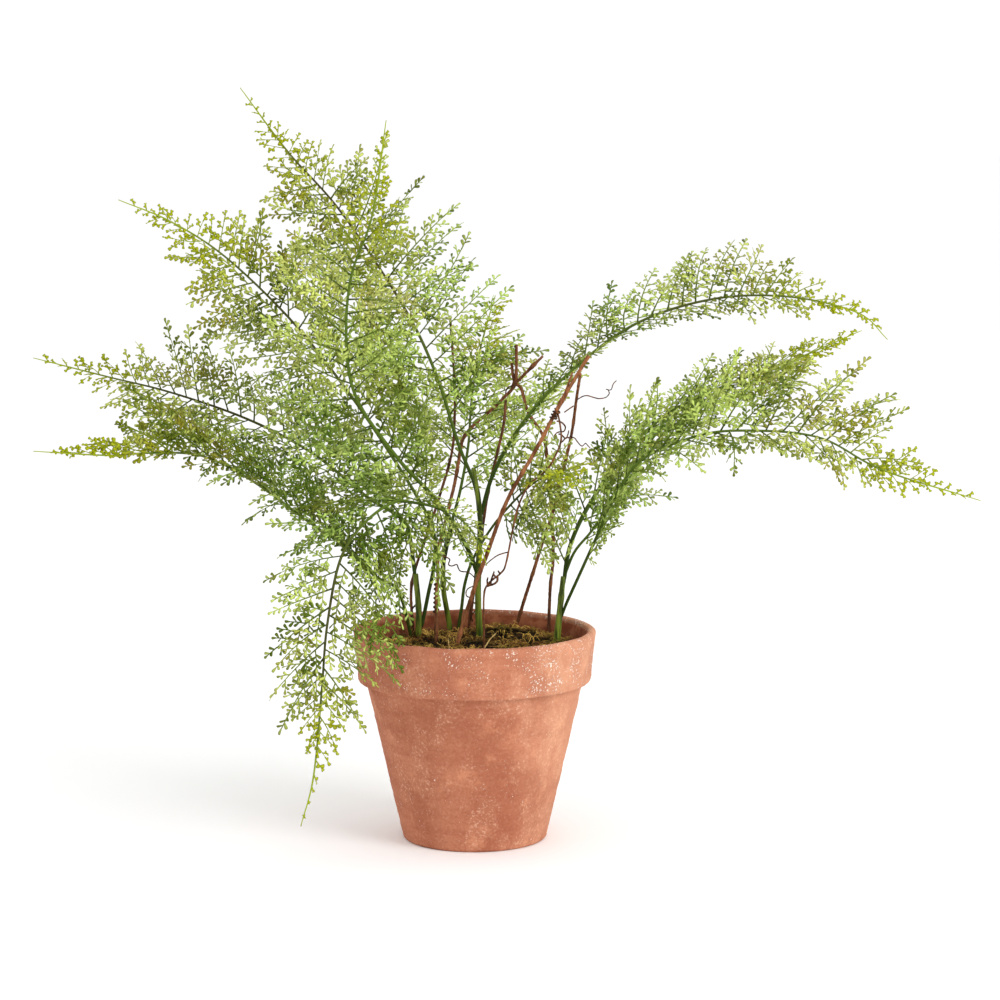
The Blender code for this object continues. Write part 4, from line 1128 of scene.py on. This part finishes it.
class Finish:
    """A material with its main shader, and short ways to add the nodes that colour it."""

    def __init__(self, name, roughness, specular=0.3):
        self.material = bpy.data.materials.new(name)
        self.material.use_nodes = True
        self.tree = self.material.node_tree
        self.shader = self.tree.nodes["Principled BSDF"]
        self.shader.inputs["Roughness"].default_value = roughness
        self.shader.inputs["Specular IOR Level"].default_value = specular
        self.place = self.tree.nodes.new("ShaderNodeTexCoord").outputs["Object"]

    def feed(self, socket, value):
        """Give a socket a number, a colour or another node's output."""
        if isinstance(value, bpy.types.NodeSocket):
            self.tree.links.new(value, socket)
        else:
            socket.default_value = value

    def add(self, kind):
        """Add a shader node of a kind."""
        return self.tree.nodes.new("ShaderNode" + kind)

    def fed(self, node, inputs):
        """Feed a node's inputs, and give back its outputs."""
        for socket, value in inputs.items():
            self.feed(node.inputs[socket], value)
        return node.outputs

    def stretched(self, scale):
        """Object coordinates with each axis scaled on its own."""
        return self.fed(self.add("Mapping"), {"Scale": scale, "Vector": self.place})["Vector"]

    def noise(self, size, detail=3.0, place=None, roughness=0.5):
        """Cloudy noise from 0 to 1 whose lumps are about size metres across."""
        inputs = {"Scale": 1.0 / size, "Detail": detail, "Roughness": roughness}
        inputs["Vector"] = place or self.place
        return self.fed(self.add("TexNoise"), inputs)["Fac"]

    def between(self, value, low, high, start=0.0, end=1.0):
        """A value's smooth step from start to end as it goes from low to high."""
        node = self.add("MapRange")
        node.interpolation_type = "SMOOTHSTEP"
        inputs = {"Value": value, "From Min": low, "From Max": high, "To Min": start, "To Max": end}
        return self.fed(node, inputs)["Result"]

    def sum(self, operation, first, second):
        """Two values put together by ADD, MULTIPLY or MAXIMUM."""
        node = self.add("Math")
        node.operation = operation
        return self.fed(node, {0: first, 1: second})["Value"]

    def mix(self, share, first, second):
        """The first colour where share is 0, the second where it is 1; a tuple is a painter's colour."""
        node = self.add("Mix")
        node.data_type = "RGBA"
        colours = [paint(*value) if isinstance(value, tuple) else value for value in (first, second)]
        return self.fed(node, {0: share, 6: colours[0], 7: colours[1]})[2]

    def ramp(self, value, low, high, first, second, most=1.0):
        """From the first colour towards the second as a value goes from low to high."""
        return self.mix(self.between(value, low, high, 0.0, most), first, second)

    def parts(self, name):
        """The three colour channels and the fourth value of a colour attribute."""
        node = self.add("Attribute")
        node.attribute_name = name
        split = self.fed(self.add("SeparateColor"), {"Color": node.outputs["Color"]})
        return split["Red"], split["Green"], split["Blue"], node.outputs["Alpha"]

    def axes(self):
        """The object's own x, y and z, where z is the height above the pot's underside."""
        return self.fed(self.add("SeparateXYZ"), {"Vector": self.place})

    def bump(self, value, depth, strength=1.0):
        """Raise the surface by depth metres where value is 1."""
        inputs = {"Distance": depth, "Strength": strength, "Height": value}
        self.feed(self.shader.inputs["Normal"], self.fed(self.add("Bump"), inputs)["Normal"])

    def colour(self, value):
        """Give the surface its colour, and the finished material back."""
        self.feed(self.shader.inputs["Base Color"], value)
        return self.material


def clay_finish():
    """Fired clay: orange-brown with pinker and darker clouds, faint level streaks, lime specks and
    painted light.
    """
    clay = Finish("fired_clay", 0.92, 0.15)
    x, _, z = clay.axes()
    clouds = clay.noise(0.045, 3.0)
    streaks = clay.noise(0.010, 4.0, clay.stretched((0.25, 0.25, 1.5)))
    patches = clay.noise(0.014, 4.0, roughness=0.62)
    fine = clay.noise(0.0017, 4.0, roughness=0.7)
    colour = clay.ramp(clouds, 0.35, 0.66, (187, 121, 92), (166, 101, 75))
    colour = clay.ramp(streaks, 0.40, 0.72, colour, (156, 88, 64), 0.40)
    colour = clay.ramp(patches, 0.52, 0.74, colour, (216, 150, 114), 0.45)
    collar = clay.between(z, SHOULDER - 0.002, SHOULDER + 0.004)
    dusk = clay.sum("MULTIPLY", collar, clay.between(clay.noise(0.022, 3.0), 0.46, 0.66, 0.0, 0.75))
    colour = clay.mix(dusk, colour, (168, 102, 78))
    colour = clay.ramp(fine, 0.50, 0.34, colour, (140, 74, 50), 0.32)
    haze = clay.between(clay.noise(0.019, 3.0, clay.stretched((1.3, 1.3, 0.7))), 0.44, 0.64, 0.25, 1.0)
    dust = clay.sum("MULTIPLY", haze, clay.between(fine, 0.52, 0.68, 0.0, 0.60))
    colour = clay.mix(dust, colour, (228, 182, 156))
    # Painted light: the clay turns paler towards +X, the side that faces the key lamp, a little patchy
    # with the haze.
    painted_light_right = clay.between(x, 0.005, 0.065, 0.0, 0.30)
    painted_light_right = clay.sum("ADD", painted_light_right, clay.between(haze, 0.25, 1.0, -0.06, 0.06))
    colour = clay.mix(painted_light_right, colour, (240, 186, 150))
    rough = clay.noise(0.0011, 2.0)
    where = clay.noise(0.011, 3.0)
    right = clay.between(x, -0.03, 0.06, 0.0, 0.05)
    dense = clay.sum("ADD", clay.sum("MULTIPLY", collar, 0.07), clay.sum("MULTIPLY", collar, right))
    level = clay.sum("ADD", clay.sum("ADD", rough, clay.sum("MULTIPLY", where, 0.42)), dense)
    specks = clay.between(level, 0.955, 0.99, 0.0, 0.9)
    colour = clay.mix(specks, colour, (244, 222, 206))
    inside = clay.add("Attribute")
    inside.attribute_name = "inside"
    blots = clay.noise(0.009, 4.0, roughness=0.65)
    wall = clay.ramp(blots, 0.40, 0.64, (146, 78, 50), (188, 116, 82))
    # The inside wall gets darker in patches towards the moss.
    darker_near_moss = clay.between(z, MOSS_TOP + 0.012, MOSS_TOP, 0.0, 0.75)
    wall = clay.mix(clay.sum("MULTIPLY", darker_near_moss, clay.noise(0.006, 3.0)), wall, (74, 44, 34))
    colour = clay.mix(inside.outputs["Fac"], colour, wall)
    grain = clay.sum("ADD", clay.sum("ADD", fine, specks), clay.sum("MULTIPLY", streaks, 0.5))
    clay.bump(grain, 0.00045, 0.8)
    return clay.colour(colour)


def soil_finish():
    """Dark crumbly potting mix."""
    soil = Finish("potting_mix", 1.0, 0.1)
    crumbs = soil.noise(0.004, 4.0)
    soil.bump(crumbs, 0.0015)
    return soil.colour(soil.ramp(crumbs, 0.4, 0.65, (34, 24, 18), (72, 52, 38)))


def moss_bed_finish():
    """The bed between the tufts: dark brown, deepened nearly to black as painted shade."""
    bed = Finish("moss_bed_painted_shade", 1.0, 0.1)
    crumbs = bed.noise(0.0028, 4.0)
    bed.bump(crumbs, 0.0012)
    return bed.colour(bed.ramp(crumbs, 0.40, 0.62, (16, 10, 4), (66, 46, 20)))


def moss_finish():
    """Dry moss: golden brown to olive tufts, with painted shade low down in the gaps, so the curls stay
    paler.
    """
    moss = Finish("dry_moss_strands", 0.85, 0.2)
    _, tone, lift, _ = moss.parts("growth")
    warm = moss.ramp(tone, 0.15, 0.85, (106, 66, 20), (240, 192, 98))
    green = moss.ramp(tone, 0.1, 0.9, (74, 58, 16), (180, 152, 66))
    colour = moss.ramp(moss.noise(0.013, 2.0), 0.48, 0.64, warm, green)
    # Painted shade: a strand turns nearly black where it lies low among the tufts.
    dark = moss.between(lift, 0.16, 0.76, 0.95, 0.0)
    return moss.colour(moss.mix(dark, colour, (20, 12, 4)))


def straw_finish():
    """Pale dry straw with faint darker lengths."""
    straw = Finish("dry_straw", 0.6, 0.3)
    marks = straw.noise(0.003, 3.0)
    return straw.colour(straw.ramp(marks, 0.4, 0.7, (206, 176, 110), (150, 116, 62)))


def leaf_finish():
    """Frond green: leaflets from green at the foot to yellow-green at the tip, over olive stalks.

    Some patches are olive or pale, leaflets end a little browner, and the rachis is brown half-way.
    """
    leaf = Finish("frond_green", 0.6, 0.12)
    along, tone, out, kind = leaf.parts("growth")
    outer = leaf.between(along, 0.38, 0.70)
    fresh = leaf.ramp(tone, -0.34, 0.34, (74, 102, 22), (190, 218, 110))
    warm = leaf.ramp(tone, -0.34, 0.34, (80, 98, 14), (208, 218, 114))
    warm = leaf.ramp(leaf.noise(0.02, 2.0), 0.48, 0.66, warm, (138, 126, 26), 0.7)
    share = leaf.between(leaf.noise(0.045, 2.0), 0.36, 0.60)
    share = leaf.sum("MAXIMUM", leaf.sum("MULTIPLY", share, 0.6), outer)
    green = leaf.mix(share, fresh, warm)
    green = leaf.ramp(leaf.noise(0.03, 2.0), 0.54, 0.70, green, (204, 208, 128), 0.45)
    tip = leaf.between(along, 0.66, 0.86)
    green = leaf.mix(leaf.sum("MULTIPLY", tip, 0.92), green, (162, 170, 0))
    green = leaf.ramp(kind, 0.90, 1.0, green, (104, 92, 22), 0.4)
    rib = leaf.ramp(out, 0.0, 0.8, (62, 78, 20), (112, 132, 44))
    rib = leaf.mix(tip, rib, (136, 150, 20))
    stem = leaf.ramp(along, 0.0, 0.35, (50, 68, 16), (82, 104, 30))
    stem = leaf.ramp(along, 0.75, 0.97, stem, (150, 166, 30))
    stem = leaf.ramp(tone, 0.05, 0.75, stem, (60, 42, 22), 0.8)
    stalk = leaf.ramp(kind, 0.10, 0.40, stem, rib)
    return leaf.colour(leaf.ramp(kind, 0.55, 0.72, stalk, green))


def stem_finish():
    """Stem green: deep and smooth, lightly streaked along its length."""
    stem = Finish("stem_green", 0.5, 0.18)
    streaks = stem.noise(0.0022, 3.0, stem.stretched((1.0, 1.0, 0.12)))
    stem.bump(streaks, 0.0003, 0.5)
    return stem.colour(stem.ramp(streaks, 0.35, 0.68, (52, 66, 14), (122, 138, 44)))


def bark_finish():
    """Twig bark: from dark red-brown to pale orange-brown, with flakes and dark lengths."""
    bark = Finish("twig_bark", 0.8, 0.2)
    _, tone, _, _ = bark.parts("growth")
    flakes = bark.noise(0.0030, 4.0, bark.stretched((1.0, 1.0, 0.28)), 0.62)
    dark = bark.ramp(flakes, 0.36, 0.66, (54, 31, 18), (122, 76, 46))
    light = bark.ramp(flakes, 0.36, 0.66, (112, 64, 34), (180, 116, 74))
    bark.bump(flakes, 0.0006, 0.8)
    return bark.colour(bark.ramp(tone, 0.0, 1.0, dark, light))


def add_camera():
    """The camera that gives the photograph's view."""
    lens = bpy.data.cameras.new("view")
    lens.lens = CAMERA_LENS
    lens.sensor_width = CAMERA_SENSOR
    lens.sensor_fit = "HORIZONTAL"
    camera = add_object("view", lens)
    camera.location = CAMERA_PLACE
    camera.rotation_euler = (math.radians(90 - CAMERA_PITCH), 0.0, 0.0)
    bpy.context.scene.camera = camera


def add_light(name, place, target, size, power):
    """A soft square light at a place, turned to face the target."""
    light = bpy.data.lights.new(name, "AREA")
    light.size = size
    light.energy = power
    lamp = add_object(name, light)
    lamp.location = place
    way = np.array(target) - np.array(place)
    lamp.rotation_euler = (math.atan2(math.hypot(way[0], way[1]), -way[2]), 0.0,
                           math.atan2(way[0], -way[1]) + math.pi)


def add_studio():
    """A pale floor under an even white sky, with one large soft light in front, to the right."""
    floor_finish = Finish("studio_floor", 0.9, 0.1)
    floor_finish.colour(FLOOR_COLOUR)
    mesh = bpy.data.meshes.new("floor")
    corners = [(x * FLOOR_REACH, y * FLOOR_REACH, 0.0) for x, y in ((-1, -1), (1, -1), (1, 1), (-1, 1))]
    mesh.from_pydata(corners, [], [(0, 1, 2, 3)])
    mesh.materials.append(floor_finish.material)
    floor = add_object("floor", mesh)
    world = bpy.data.worlds.new("studio")
    world.use_nodes = True
    sky = world.node_tree.nodes["Background"]
    sky.inputs["Color"].default_value = (1.0, 1.0, 1.0, 1.0)
    sky.inputs["Strength"].default_value = SKY_STRENGTH
    bpy.context.scene.world = world
    add_light("key", KEY_PLACE, KEY_TARGET, KEY_SIZE, KEY_POWER)


bpy.context.scene.view_settings.view_transform = "Standard"
add_camera()
add_studio()
# The soil's own solid stays, with a finish.
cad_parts["soil"].material_slots[0].material = soil_finish()
make_pot(clay_finish())
make_moss_bed(moss_bed_finish())
make_moss_strands(moss_finish())
make_straws(straw_finish())
make_stems(stem_finish())
make_fronds(leaf_finish())
make_twigs(bark_finish())
